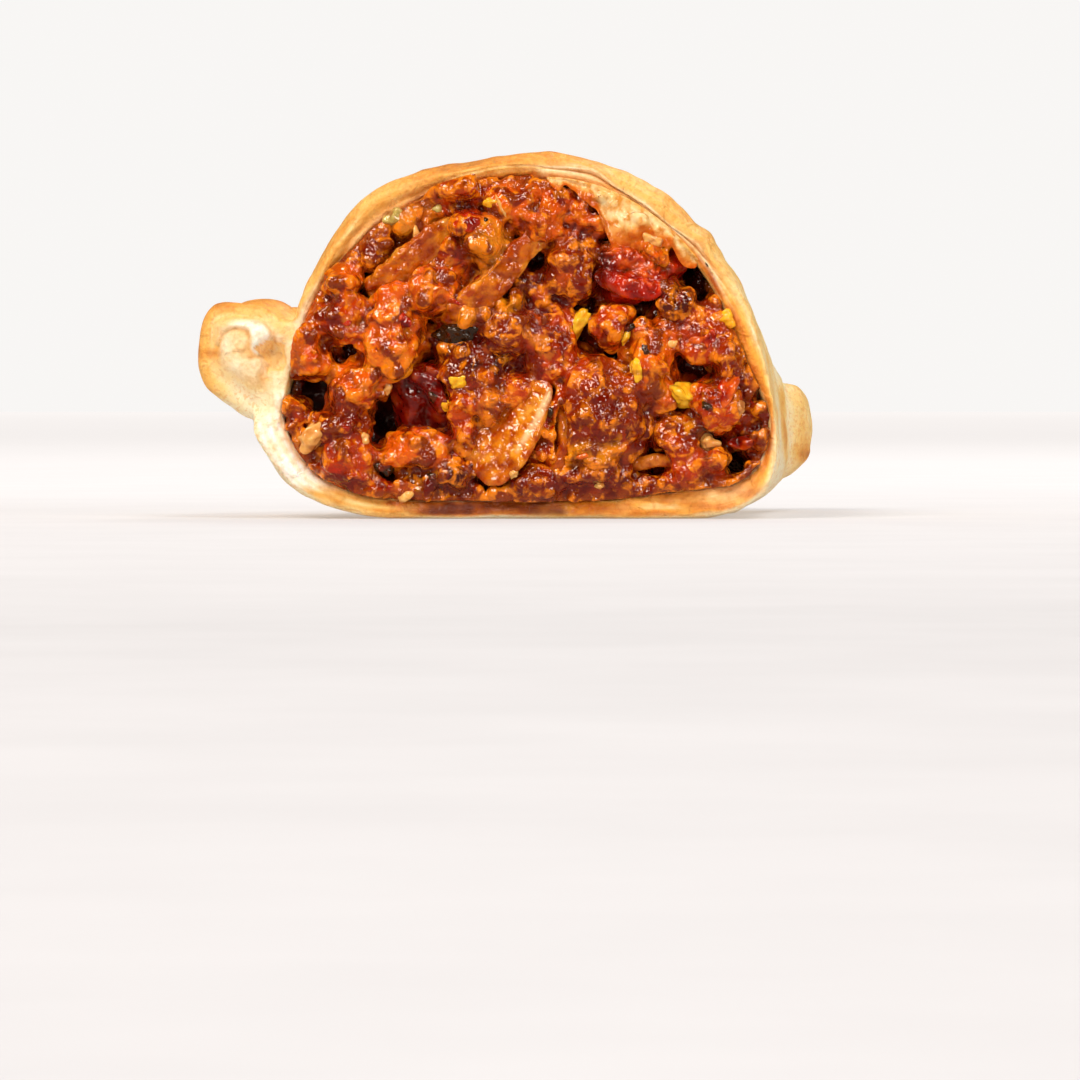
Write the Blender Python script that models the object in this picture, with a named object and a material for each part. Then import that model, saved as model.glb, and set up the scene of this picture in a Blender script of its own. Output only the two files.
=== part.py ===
"""Half of a baked empanada, cut across its middle and standing on its flat base.

Metres, +Z up, origin at the middle of the base. The cut face looks along -Y. One sheet of dough lies flat
under a meat filling, folds up at +X, domes over the top and meets itself at -X, where the seam is rolled
into a thick twisted rope. In plan the half is a quarter of an ellipse: the rope follows its curved edge from
the cut to the far corner and ends there as a horn. The filling runs through the whole parcel, and lumps of
pork, red pepper and onion stand out of it at the cut.

Every part is modelled in face coordinates: along (X) from the outside of the rope, depth (Y) from the cut
plane and up (Z) from the base. One empty then carries the whole half to the origin.
"""

import math
import random

import bmesh
import bpy
from mathutils import Matrix, Vector, noise

MM = 0.001

# --- Driving dimensions of the parcel -------------------------------------------------------------------
CROWN_HEIGHT = 43.1 * MM  # top of the dome at the cut
FOLD_ALONG = 68.1 * MM  # outside of the folded side wall at the cut
SEAM_ALONG = 6.5 * MM  # where the under sheet reaches the rope at the cut
SEAM_UP = 16.0 * MM  # height at which the two sheets meet
PLAN_DEPTH = 52.0 * MM  # from the cut to the line of the rope at the far corner
TIP_ALONG = 66.0 * MM  # where the rope's line turns past the far corner
MIDDLE_ALONG = 37.15 * MM  # the middle of the finished half, rope to horn
MIDDLE_DEPTH = 28.15 * MM  # and from the filling's lumps to the rope

# --- How the section changes towards the far corner -----------------------------------------------------
HORN_FLARE = 4.0 * MM  # the fold wall spreads outwards by this much
TIP_TOP = 17.5 * MM
TIP_LIFT = 5.0 * MM  # the far corner curls up off the tray
LIFT_STARTS = 0.55  # share of the depth that lies flat
SEAM_DROP = 7.0 * MM
FOLD_UP = 8.0 * MM  # height of the widest point of the fold wall
FOLD_RISE = 2.5 * MM
LAST_STATION = math.radians(84)  # the loft's closed end, inside the rope

# --- Shares of the section's width ----------------------------------------------------------------------
CROWN_SHARE = 0.547
LIP_SHARE = 0.054  # the top sheet starts this far inside the under sheet
CORNER_SHARE = 0.163
HEEL_SHARE = 0.284

# --- The five runs of the outline: points in each, and the wall's thickness where it starts and ends ------
RUN_POINTS = (11, 12, 5, 4, 8)
RUN_WALLS = ((1.3, 3.0), (3.6, 2.7), (2.7, 2.3), (2.2, 2.3), (2.4, 3.2))
WALL_THICKENING = 0.9  # share that the wall gains by the far corner
OUTER_TURNS = 18
CAVITY_DEPTH = 44.0 * MM
HOLLOW_TURNS = 11
KNIFE_REACH = 120 * MM
BEFORE_CUT = 4.0 * MM  # the parcel and its hollow are drawn past the cut, then cut off
GAP = 0.35 * MM  # kept between two parts that touch

# --- The rolled rope ------------------------------------------------------------------------------------
ROPE_RADIUS = 6.1 * MM
ROPE_SPREAD = 1.0 * MM  # it is fatter at the horn
ROPE_OUT = 0.5 * MM
ROPE_RISE = 3.3 * MM  # its middle stands above the seam
ROPE_PITCH = 10.8 * MM  # from one fold of the twist to the next
ROPE_GROOVE = 0.27
ROPE_NECK = 0.13  # it is deeper below, where it runs into the wall
ROPE_STARTS = math.radians(-7)
ROPE_ENDS = math.radians(98)
ROPE_STATIONS = 66
ROPE_SIDES = 14
ROPE_ROUNDING = 5.0 * MM  # the horn's end is rounded off over this length
ROPE_END_SHARE = 0.12  # and closes with a face of this share of its radius
TWIST_PHASE = 0.62

# --- The filling ----------------------------------------------------------------------------------------
CORE_FRONT = 3.2 * MM  # the bare filling lies this far behind the cut
LUMP_REACH = 7.0 * MM  # no lump stands further out of the cut than this
LUMP_DEPTH = 8.5 * MM  # from a lump's front to its back, inside the filling
THIN_LUMP_ROOT = 4.2 * MM  # a thin piece of vegetable reaches this much deeper than it is thick
RIM_STEP = 7.5 * MM  # between the small lumps along the wall
RIM_SEED = 7
RIM_SIZES = (4.0 * MM, 6.0 * MM)
RIM_MIDDLES = (3.2 * MM, 4.2 * MM)  # how far their middles lie behind the cut

# Lumps that show at the cut: kind, then millimetres along, up, wide and high, its tilt in degrees and the
# millimetres that it stands out of the cut plane. The rows run from the dome down to the base.
LUMPS = (
    ("pork", 30.1, 37.6, 8.0, 4.8, 0, 0.6),
    ("pork", 25.4, 35.2, 5.8, 6.2, -10, 1.0),
    ("pork", 33.1, 33.1, 5.8, 6.4, 0, 2.4),
    ("pork", 37.3, 36.4, 6.6, 5.6, 0, 1.2),
    ("pork", 40.7, 34.0, 5.6, 6.6, 0, 2.0),
    ("pork", 45.9, 34.8, 7.2, 5.0, -15, 0.4),
    ("pork", 51.8, 32.6, 6.6, 4.6, -35, 0.2),
    ("pork", 27.3, 26.9, 7.4, 5.4, 10, 2.6),
    ("pork", 31.6, 24.2, 4.6, 3.4, 20, 2.2),
    ("pork", 35.1, 29.3, 7.4, 3.0, 37, 2.0),
    ("pork", 40.1, 26.9, 10.5, 6.2, 15, -0.4),
    ("pork", 44.3, 29.4, 6.2, 8.6, 10, 1.0),
    ("pork", 55.4, 26.0, 4.6, 7.4, 15, 0.2),
    ("pork", 17.0, 27.4, 5.6, 4.8, 0, 1.4),
    ("pork", 16.4, 23.4, 7.4, 6.2, 0, 1.6),
    ("pork", 13.6, 20.2, 5.6, 6.2, 0, 1.5),
    ("pork", 23.0, 21.9, 7.2, 11.0, -12, 3.0),
    ("olive", 30.4, 21.2, 4.2, 2.4, 0, 0.8),
    ("pork", 33.3, 17.9, 9.4, 8.0, 0, 1.4),
    ("pork", 37.3, 22.4, 8.8, 7.4, 0, 1.2),
    ("pork", 40.9, 20.4, 6.2, 8.8, 0, 1.9),
    ("corn", 44.6, 22.4, 1.9, 4.4, -20, 1.8),
    ("pork", 48.6, 22.4, 5.2, 5.4, 0, 1.2),
    ("pork", 53.2, 18.4, 7.6, 9.2, 0, 2.2),
    ("pork", 47.4, 11.8, 11.2, 11.6, 0, 2.4),
    ("corn", 56.6, 14.6, 4.0, 2.8, -15, 2.8),
    ("pork", 58.8, 21.4, 6.2, 6.6, 0, 0.8),
    ("pork", 62.0, 18.2, 4.2, 6.8, 0, 0.9),
    ("pork", 60.6, 13.4, 6.4, 6.8, 0, 1.1),
    ("onion", 59.7, 8.9, 3.0, 2.5, 20, 2.0),
    ("pork", 56.6, 9.6, 6.0, 5.8, 0, 1.2),
    ("pork", 58.0, 6.2, 7.0, 4.8, 0, 1.6),
    ("pork", 41.3, 10.6, 4.8, 10.4, -10, 1.7),
    ("pork", 18.8, 15.6, 7.2, 7.2, 0, 1.7),
    ("onion", 13.9, 10.4, 3.4, 3.2, 0, 1.9),
    ("pork", 17.0, 11.0, 6.0, 5.8, 0, 1.4),
    ("pork", 18.4, 6.8, 7.0, 6.6, 0, 1.9),
    ("pork", 25.2, 7.6, 8.2, 5.4, 0, 1.6),
    ("pork", 28.6, 5.0, 10.0, 4.4, 0, 1.2),
    ("pork", 38.6, 4.8, 8.2, 4.2, 0, 1.2),
    ("pork", 46.2, 4.8, 11.6, 4.2, 0, 1.0),
    ("onion", 53.6, 5.4, 7.0, 1.9, -5, 1.4),
)

# Lumps big enough to be lifted out, written the same way: each is a part in a pocket of the filling.
OWN_PARTS = {
    "red_pepper_upper": ("pepper", 50.5, 27.9, 9.0, 6.0, -8, 1.4),
    "red_pepper_lower": ("pepper", 26.1, 13.7, 7.0, 8.4, 15, 0.6),
    "onion_strip": ("onion", 24.3, 30.4, 9.6, 2.8, 42, 2.2),
    "onion_piece": ("onion", 34.6, 10.5, 14.0, 5.4, 40, 2.6),
}
SQUARENESS = {"pork": 2.2, "pepper": 3.0, "onion": 3.2, "olive": 2.0, "corn": 2.6}
LUMP_ROUGHNESS = 0.16  # share of a lump's size by which its surface wanders
LUMP_WAVES = 1.7  # waves of that wandering over a lump's radius
OWN_DETAIL = 3  # icosphere steps of a part of its own
LARGE_DETAIL = 2
SMALL_DETAIL = 1
LARGE_FROM = 6.3  # a lump wider or higher than this, in millimetres, is a rounder solid

MATERIALS = {
    "crust": ((0.86, 0.55, 0.25), 0.5),
    "filling": ((0.42, 0.11, 0.03), 0.35),
    "pepper": ((0.45, 0.02, 0.01), 0.25),
    "onion": ((0.72, 0.32, 0.08), 0.3),
}


def clear_scene():
    for thing in list(bpy.data.objects):
        bpy.data.objects.remove(thing)


def make_material(name):
    """A Principled surface of this colour and roughness; no food is metallic."""
    colour, roughness = MATERIALS[name]
    material = bpy.data.materials.new(name)
    material.use_nodes = True
    surface = material.node_tree.nodes["Principled BSDF"]
    surface.inputs["Base Color"].default_value = (*colour, 1.0)
    surface.inputs["Roughness"].default_value = roughness
    surface.inputs["Metallic"].default_value = 0.0
    return material


def superellipse_run(middle, radii, start, end, count, power):
    """Points of a quarter superellipse from one angle to another, in degrees, without its last point."""
    points = []
    for step in range(count):
        turn = math.radians(start + (end - start) * step / count)
        across, rise = math.cos(turn), math.sin(turn)
        points.append(
            (
                middle[0] + radii[0] * math.copysign(abs(across) ** (2 / power), across),
                middle[1] + radii[1] * math.copysign(abs(rise) ** (2 / power), rise),
            )
        )
    return points


def seam_height(turn):
    """Height of the seam at an angle round the plan's ellipse, which is 0 at the cut."""
    share = min(max(turn / math.radians(90), 0), 1)
    return SEAM_UP - SEAM_DROP * share**2


def dough_outline(depth):
    """The parcel's outline at this depth, clockwise from the seam: a list of (along, up)."""
    share = min(max(depth / PLAN_DEPTH, 0), 1)
    turn = math.asin(share)
    left = TIP_ALONG - (TIP_ALONG - SEAM_ALONG) * math.cos(turn)
    right = FOLD_ALONG + HORN_FLARE * share**2
    width = right - left
    top = TIP_TOP + (CROWN_HEIGHT - TIP_TOP) * math.cos(turn)
    base = TIP_LIFT * (max(share - LIFT_STARTS, 0) / (1 - LIFT_STARTS)) ** 2
    seam = seam_height(turn)
    fold = FOLD_UP + FOLD_RISE * share
    crown = left + CROWN_SHARE * width
    lip = left + LIP_SHARE * width
    corner = CORNER_SHARE * width
    heel = HEEL_SHARE * width
    n = RUN_POINTS
    outline = superellipse_run((crown, seam), (crown - lip, top - seam), 180, 90, n[0], 2.0)
    outline += superellipse_run((crown, fold), (right - crown, top - fold), 90, 0, n[1], 2.0)
    outline += superellipse_run((right - corner, fold), (corner, fold - base), 0, -90, n[2], 2.2)
    for step in range(n[3]):
        across = (right - corner) + (left + heel - right + corner) * step / n[3]
        outline.append((across, base))
    outline += superellipse_run((left + heel, seam), (heel, seam - base), -90, -180, n[4], 2.3)
    outline.append((left, seam))
    return outline


def wall_thicknesses():
    """The dough's thickness at each point of the outline."""
    walls = []
    for count, (first, last) in zip(RUN_POINTS, RUN_WALLS):
        walls += [(first + (last - first) * step / count) * MM for step in range(count)]
    return walls + [RUN_WALLS[-1][1] * MM]


def inner_outline(depth, gap=0.0):
    """The hollow's outline at this depth: the parcel's own, moved in by the wall and by a gap.

    The two points at the seam are left out, because the wall is thicker than that corner is wide.
    """
    outline = dough_outline(depth)
    walls = wall_thicknesses()
    thicken = 1 + WALL_THICKENING * min(max(depth / PLAN_DEPTH, 0), 1) ** 3
    moved = []
    for index, (along, up) in enumerate(outline):
        before = outline[index - 1]
        after = outline[(index + 1) % len(outline)]
        step = Vector((after[0] - before[0], after[1] - before[1])).normalized()
        inset = walls[index] * thicken + gap
        moved.append((along + step.y * inset, up - step.x * inset))
    return moved[1:-1]


def loft(name, rings):
    """A closed solid through rings of equal length, with a flat face at each end."""
    mesh = bmesh.new()
    rows = [[mesh.verts.new(point) for point in ring] for ring in rings]
    count = len(rows[0])
    for near, far in zip(rows, rows[1:]):
        for index in range(count):
            after = (index + 1) % count
            mesh.faces.new((near[index], near[after], far[after], far[index]))
    mesh.faces.new(rows[0])
    mesh.faces.new(rows[-1])
    bmesh.ops.recalc_face_normals(mesh, faces=mesh.faces)
    return finish_mesh(name, mesh)


def finish_mesh(name, mesh):
    data = bpy.data.meshes.new(name)
    mesh.to_mesh(data)
    mesh.free()
    data.shade_smooth()
    solid = bpy.data.objects.new(name, data)
    bpy.context.scene.collection.objects.link(solid)
    return solid


def station_ring(outline, depth):
    return [(along, depth, up) for along, up in outline]


def apply_modifiers(solid):
    """Replaces a solid's mesh with what its modifiers make of it."""
    evaluated = solid.evaluated_get(bpy.context.evaluated_depsgraph_get())
    made = bpy.data.meshes.new_from_object(evaluated)
    solid.modifiers.clear()
    solid.data = made


def cut_or_join(solid, other, operation, solver="EXACT"):
    """One Boolean between two solids, applied; the second is used up."""
    step = solid.modifiers.new(operation.lower(), "BOOLEAN")
    step.operation = operation
    step.object = other
    step.solver = solver
    apply_modifiers(solid)
    bpy.data.objects.remove(other)


def drop_bubbles(solid):
    """Removes the tiny sealed bubbles that a union of many lumps can leave between them."""
    mesh = bmesh.new()
    mesh.from_mesh(solid.data)
    waiting = set(mesh.verts)
    shells = []
    while waiting:
        shell, edge = set(), [waiting.pop()]
        while edge:
            vert = edge.pop()
            shell.add(vert)
            near = [link.other_vert(vert) for link in vert.link_edges]
            edge += [other for other in near if other in waiting]
            waiting.difference_update(near)
        shells.append(shell)
    largest = max(shells, key=len)
    bubbles = [vert for shell in shells if shell is not largest for vert in shell]
    bmesh.ops.delete(mesh, geom=bubbles, context="VERTS")
    mesh.to_mesh(solid.data)
    mesh.free()


def join_collection(solid, pieces):
    """One Boolean union of a solid with a collection of pieces, which are used up."""
    group = bpy.data.collections.new("pieces")
    bpy.context.scene.collection.children.link(group)
    for piece in pieces:
        group.objects.link(piece)
    step = solid.modifiers.new("fuse", "BOOLEAN")
    step.operation = "UNION"
    step.operand_type = "COLLECTION"
    step.collection = group
    step.solver = "MANIFOLD"
    apply_modifiers(solid)
    for piece in pieces:
        bpy.data.objects.remove(piece)
    bpy.data.collections.remove(group)


def parcel_depths():
    """Depths of the outer loft's rings: one before the cut, then closer together towards the corner."""
    sweep = [LAST_STATION * k / OUTER_TURNS for k in range(OUTER_TURNS + 1)]
    return [-BEFORE_CUT, *(PLAN_DEPTH * math.sin(turn) for turn in sweep)]


def hollow_depths():
    """Depths of the hollow's rings. The filling is trimmed through the same ones, so the gap stays even."""
    reach = math.asin(CAVITY_DEPTH / PLAN_DEPTH)
    return [PLAN_DEPTH * math.sin(reach * k / HOLLOW_TURNS) for k in range(HOLLOW_TURNS + 1)]


def rope_line(turn):
    """The middle of the rope at an angle round the plan's ellipse."""
    return Vector(
        (
            TIP_ALONG - (TIP_ALONG - SEAM_ALONG + ROPE_OUT) * math.cos(turn),
            PLAN_DEPTH * math.sin(turn),
            seam_height(turn) + ROPE_RISE,
        )
    )


def make_rope():
    """The rolled seam: a tube whose surface dips along a helix, so that it reads as overlapping folds."""
    turns = [ROPE_STARTS + (ROPE_ENDS - ROPE_STARTS) * k / ROPE_STATIONS for k in range(ROPE_STATIONS + 1)]
    line = [rope_line(turn) for turn in turns]
    travelled = [0.0]
    for here, there in zip(line, line[1:]):
        travelled.append(travelled[-1] + (there - here).length)
    length = travelled[-1]
    rings = []
    for index, middle in enumerate(line):
        ahead = line[min(index + 1, len(line) - 1)] - line[max(index - 1, 0)]
        outward = ahead.cross(Vector((0, 0, 1))).normalized() * -1
        upward = outward.cross(ahead).normalized()
        if upward.z < 0:
            upward.negate()
        to_end = min((length - travelled[index]) / ROPE_ROUNDING, 1)
        rounding = max(math.sqrt(1 - (1 - to_end) ** 2), ROPE_END_SHARE)
        radius = (ROPE_RADIUS + ROPE_SPREAD * travelled[index] / length) * rounding
        ring = []
        for side in range(ROPE_SIDES):
            swing = 2 * math.pi * side / ROPE_SIDES
            phase = travelled[index] / ROPE_PITCH + side / ROPE_SIDES + TWIST_PHASE
            dip = 1 - ROPE_GROOVE * (1 - math.sqrt(abs(math.sin(math.pi * phase))))
            dip += ROPE_NECK * max(-math.sin(swing), 0) ** 1.5
            offset = outward * math.cos(swing) + upward * math.sin(swing)
            ring.append(middle + offset * radius * dip)
        rings.append(ring)
    return loft("rope", rings)


def make_knife():
    """A block that takes away all that lies in front of the cut plane."""
    mesh = bmesh.new()
    bmesh.ops.create_cube(mesh, size=KNIFE_REACH)
    bmesh.ops.translate(mesh, vec=(FOLD_ALONG / 2, -KNIFE_REACH / 2, CROWN_HEIGHT / 2), verts=mesh.verts)
    return finish_mesh("knife", mesh)


def make_crust():
    """The dough: parcel and rope in one, hollowed for the filling and cut flat at the front."""
    crust = loft("crust", [station_ring(dough_outline(depth), depth) for depth in parcel_depths()])
    cut_or_join(crust, make_rope(), "UNION")
    depths = [-2 * BEFORE_CUT, *hollow_depths(), CAVITY_DEPTH + 2 * GAP]
    hollow = loft("hollow", [station_ring(inner_outline(depth), depth) for depth in depths])
    cut_or_join(crust, hollow, "DIFFERENCE")
    cut_or_join(crust, make_knife(), "DIFFERENCE")
    drop_bubbles(crust)
    return crust


def make_lump(name, kind, place, size, tilt, detail, grow=0.0):
    """One lump: a squared ball of this size, roughened, and tilted in the plane of the cut."""
    mesh = bmesh.new()
    bmesh.ops.create_icosphere(mesh, subdivisions=detail, radius=1.0)
    power = SQUARENESS[kind]
    seed = Vector(place) / MM
    for vert in mesh.verts:
        x, y, z = vert.co
        squared = (abs(x) ** power + abs(y) ** power + abs(z) ** power) ** (-1 / power)
        wander = 1 + LUMP_ROUGHNESS * noise.noise(vert.co * LUMP_WAVES + seed)
        reach = [extent / 2 * squared * wander + grow for extent in size]
        vert.co = Vector((x * reach[0], y * reach[1], z * reach[2]))
    pose = Matrix.Translation(place) @ Matrix.Rotation(math.radians(-tilt), 4, "Y")
    bmesh.ops.transform(mesh, matrix=pose, verts=mesh.verts)
    return finish_mesh(name, mesh)


def lump_from_row(name, row, detail, grow=0.0):
    kind, along, up, wide, high, tilt, proud = row
    thick = LUMP_DEPTH if kind == "pork" else min(LUMP_DEPTH, min(wide, high) * MM + THIN_LUMP_ROOT)
    place = (along * MM, -proud * MM + thick / 2, up * MM)
    return make_lump(name, kind, place, (wide * MM, thick, high * MM), tilt, detail, grow)


def rim_lumps():
    """Small lumps that close the gap between the named ones and the wall, spaced evenly round the rim."""
    draw = random.Random(RIM_SEED)
    outline = inner_outline(0.0, GAP)
    lumps = []
    travelled = 0.0
    for here, there in zip(outline, outline[1:] + outline[:1]):
        travelled += math.dist(here, there)
        if travelled < RIM_STEP:
            continue
        travelled = 0.0
        wide, high = draw.uniform(*RIM_SIZES), draw.uniform(*RIM_SIZES)
        step = Vector((there[0] - here[0], there[1] - here[1])).normalized()
        place = (here[0] + step.y * wide / 2, draw.uniform(*RIM_MIDDLES), here[1] - step.x * high / 2)
        lumps.append(make_lump("rim", "pork", place, (wide, LUMP_DEPTH, high), 0, SMALL_DETAIL))
    return lumps


def make_filling():
    """The filling through the whole parcel, its lumps fused on at the cut and pockets left for four more."""
    depths = [CORE_FRONT, *(depth for depth in hollow_depths() if depth > CORE_FRONT), CAVITY_DEPTH + GAP]
    rings = [station_ring(inner_outline(depth, -GAP), depth) for depth in depths]
    filling = loft("filling", rings[:-1:2] + rings[-1:])
    lumps = rim_lumps()
    for row in LUMPS:
        large = max(row[3], row[4]) > LARGE_FROM
        lumps.append(lump_from_row("lump", row, LARGE_DETAIL if large else SMALL_DETAIL))
    join_collection(filling, lumps)
    rings = [station_ring(inner_outline(depth, GAP), depth) for depth in (-LUMP_REACH, *hollow_depths())]
    cut_or_join(filling, loft("room", rings), "INTERSECT", "MANIFOLD")
    for row in OWN_PARTS.values():
        cut_or_join(filling, lump_from_row("pocket", row, OWN_DETAIL, GAP), "DIFFERENCE", "MANIFOLD")
    drop_bubbles(filling)
    return filling


def build():
    clear_scene()
    group = bpy.data.collections.new("empanada_half")
    bpy.context.scene.collection.children.link(group)
    carrier = bpy.data.objects.new("base_middle", None)
    carrier.location = (-MIDDLE_ALONG, -MIDDLE_DEPTH, 0)
    group.objects.link(carrier)
    parts = {"crust": make_crust(), "filling": make_filling()}
    for name, row in OWN_PARTS.items():
        parts[name] = lump_from_row(name, row, OWN_DETAIL)
    finishes = {name: make_material(name) for name in MATERIALS}
    for name, solid in parts.items():
        finish = OWN_PARTS[name][0] if name in OWN_PARTS else name
        solid.data.materials.clear()
        solid.data.materials.append(finishes[finish])
        solid.parent = carrier
        bpy.context.scene.collection.objects.unlink(solid)
        group.objects.link(solid)


build()
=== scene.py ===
# %% [markdown]
# # Half of a pork empanada, cut open
#
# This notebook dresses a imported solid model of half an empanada. The solids say where everything is; the
# cells below make what the eye reads: flaky baked dough, a twisted crimp, and wet, crumbly meat with pieces
# of vegetable in it. Everything is built in millimetres in the plane of the cut, because that is where the
# real thing is measured, and moved into the frame's metres as the last step of each piece.

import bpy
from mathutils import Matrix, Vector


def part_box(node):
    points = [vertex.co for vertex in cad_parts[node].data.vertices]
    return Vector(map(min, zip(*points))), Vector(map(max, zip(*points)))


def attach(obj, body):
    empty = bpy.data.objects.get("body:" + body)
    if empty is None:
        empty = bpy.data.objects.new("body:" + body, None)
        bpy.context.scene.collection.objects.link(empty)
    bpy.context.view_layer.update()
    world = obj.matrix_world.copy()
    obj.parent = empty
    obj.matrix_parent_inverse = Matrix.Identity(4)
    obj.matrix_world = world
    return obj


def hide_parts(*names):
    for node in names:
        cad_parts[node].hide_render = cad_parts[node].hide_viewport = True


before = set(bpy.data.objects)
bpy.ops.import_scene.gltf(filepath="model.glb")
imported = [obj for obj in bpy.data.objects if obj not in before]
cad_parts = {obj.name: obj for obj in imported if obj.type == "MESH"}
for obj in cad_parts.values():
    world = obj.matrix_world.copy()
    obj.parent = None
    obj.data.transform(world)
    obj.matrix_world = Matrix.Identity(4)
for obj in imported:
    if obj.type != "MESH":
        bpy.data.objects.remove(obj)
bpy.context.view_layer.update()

# %% Tools of the trade
import itertools
import math

import bmesh
import bpy
import numpy as np
from mathutils import Matrix, Vector
from mathutils.bvhtree import BVHTree
from mathutils.kdtree import KDTree

MM = 0.001
rng = np.random.default_rng(11)
print("Blender", bpy.app.version_string)

# %% [markdown]
# ## Where things are
#
# The cut plane is the crust's lowest Y. Along it, millimetres are counted from the outside of the rope (X)
# and from the table (Z); depth (Y) is counted into the food. One matrix carries such a point into the
# frame.

# %% Face coordinates
ROPE_OUTSIDE = -0.1  # the rope bulges this far past zero
crust_low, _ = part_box("crust")
FACE_TO_FRAME = Matrix.Translation((crust_low.x - ROPE_OUTSIDE * MM, crust_low.y, 0)) @ Matrix.Scale(MM, 4)
print("cut plane at y =", round(crust_low.y * 1000, 2), "mm in the frame")

# %% [markdown]
# ## Camera and studio
#
# The cut is seen square on, from table height, through a long lens, so that the horn at the far corner
# hardly shrinks. Two facts set the camera: how many millimetres of the cut plane one pixel covers, and
# which point of that plane sits in the middle.

# %% Camera
FRAME_PIXELS = 1080
MM_PER_PIXEL = 0.117
CAMERA_DISTANCE = 700.0
CAMERA_HEIGHT = 14.0
FRAME_MIDDLE = (40.0, 0.0, -2.46)  # millimetres on the cut plane

camera_data = bpy.data.cameras.new("studio_camera")
camera_data.sensor_width = 36.0
camera_data.lens = camera_data.sensor_width * CAMERA_DISTANCE / (FRAME_PIXELS * MM_PER_PIXEL)
camera_data.clip_start, camera_data.clip_end = 0.01, 50.0
camera = bpy.data.objects.new("studio_camera", camera_data)
bpy.context.scene.collection.objects.link(camera)
aim = FACE_TO_FRAME @ Vector(FRAME_MIDDLE)
camera.location = FACE_TO_FRAME @ Vector((FRAME_MIDDLE[0], -CAMERA_DISTANCE, CAMERA_HEIGHT))
camera.rotation_euler = (aim - camera.location).to_track_quat("-Z", "Y").to_euler()
bpy.context.scene.camera = camera
print("lens", round(camera_data.lens, 1), "mm")

# %% [markdown]
# Colours are written as the sRGB hex values that a colour picker shows. Blender's shaders want linear
# light, so one function turns them.


# %% Colours
def linear(hex_colour, alpha=1.0):
    """An sRGB hex colour as linear red, green, blue and alpha."""
    parts = [int(hex_colour[i : i + 2], 16) / 255 for i in (1, 3, 5)]
    return (*(p / 12.92 if p <= 0.04045 else ((p + 0.055) / 1.055) ** 2.4 for p in parts), alpha)


print("mid grey is", round(linear("#808080")[0], 3), "in linear light")

# %% [markdown]
# A material is a tree of small nodes, each with settings of its own and sockets that hold a value or are
# fed by another node. One function adds a node and another fills its sockets, also those of a new
# material's surface.


# %% Nodes
def socket(sockets, name):
    """A node's socket by number, or by name among those that its settings leave in use."""
    if isinstance(name, int):
        return sockets[name]
    return next(s for s in sockets if s.enabled and s.name == name)


def fill(node, values):
    """Gives a node's sockets their values, or links them to another socket or to a node's first output."""
    for name, value in values.items():
        if isinstance(value, bpy.types.Node):
            value = next(output for output in value.outputs if output.enabled)
        if isinstance(value, bpy.types.NodeSocket):
            node.id_data.links.new(value, socket(node.inputs, name))
        else:
            socket(node.inputs, name).default_value = value


def add(tree, kind, settings=None, sockets=None):
    """Adds one node: settings are its own properties, sockets the values or links that fill it."""
    made = tree.nodes.new("ShaderNode" + kind)
    for name, value in (settings or {}).items():
        if name == "stops":
            elements = made.color_ramp.elements
            while len(elements) < len(value):
                elements.new(0.5)
            for element, (position, colour) in zip(elements, value):
                element.position = position
                element.color = linear(colour) if isinstance(colour, str) else (colour, colour, colour, 1)
        else:
            setattr(made, name, value)
    fill(made, sockets or {})
    return made


# settings that many nodes share
SOFT = {"interpolation_type": "SMOOTHSTEP"}
BLEND = {"data_type": "RGBA"}
GLAZE = {"data_type": "RGBA", "blend_type": "MULTIPLY"}


# %% Materials and their scale
def new_material(name):
    """A material with only a Principled surface, its tree, and that surface."""
    material = bpy.data.materials.new(name)
    material.use_nodes = True
    return material, material.node_tree, material.node_tree.nodes["Principled BSDF"]


def per_mm(size):
    """Texture scale whose features are this many millimetres apart, for coordinates in metres."""
    return 1 / (size * MM)


print("noise with features 1 mm apart has the scale", per_mm(1.0))

# %% [markdown]
# The table is a sheet of matt white card. In a studio it would sweep up behind the food and catch more and
# more light. A flat disc with light added towards the back looks the same and blocks no view from behind.

# %% Table
CARD_RADIUS = 6.0
bpy.ops.mesh.primitive_circle_add(vertices=96, radius=CARD_RADIUS, fill_type="NGON")
table = bpy.context.object
table.name = "table"
print("table", 2 * CARD_RADIUS, "m across")

# %% How the card brightens to the back
# metres behind the food, and how much light is added there
SWEEP = ((-0.35, 0.045), (-0.3, 0.10), (-0.23, 0.16), (-0.14, 0.22), (0.0, 0.30), (0.1, 0.38), (0.24, 0.47))
SWEEP += ((0.6, 0.58), (1.0, 0.64), (2.2, 0.70), (5.0, 0.76))
SWEEP_FROM, SWEEP_TO = SWEEP[0][0], SWEEP[-1][0]
# metres out from the food where the card starts to glow at the sides too, and where it is in full
SIDE_STARTS, SIDE_FULL, SIDE_GLOW = 0.75, 2.0, 0.5
# black flags keep most of the white card and walls out of the sauce's reflections, so it keeps its depth
MIRRORED_SHARE = 0.02

card, tree, surface = new_material("white_card")
fibre = add(tree, "TexNoise", None, {"Scale": per_mm(1.5), "Detail": 3.0})
tone = add(tree, "ValToRGB", {"stops": [(0.3, "#bab7b7"), (0.7, "#bebbbb")]}, {"Fac": fibre})
mirrored = add(tree, "LightPath").outputs["Is Glossy Ray"]
seen_tone = add(tree, "Mix", BLEND, {"Factor": mirrored, "A": tone, "B": linear("#181818")})
on_card = add(tree, "TexCoord").outputs["Object"]
behind = add(tree, "SeparateXYZ", None, {"Vector": on_card}).outputs["Y"]
share_back = add(tree, "MapRange", None, {"Value": behind, "From Min": SWEEP_FROM, "From Max": SWEEP_TO})
sweep_stops = [((y - SWEEP_FROM) / (SWEEP_TO - SWEEP_FROM), added) for y, added in SWEEP]
sweep = add(tree, "ValToRGB", {"stops": sweep_stops}, {"Fac": share_back})
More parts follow.
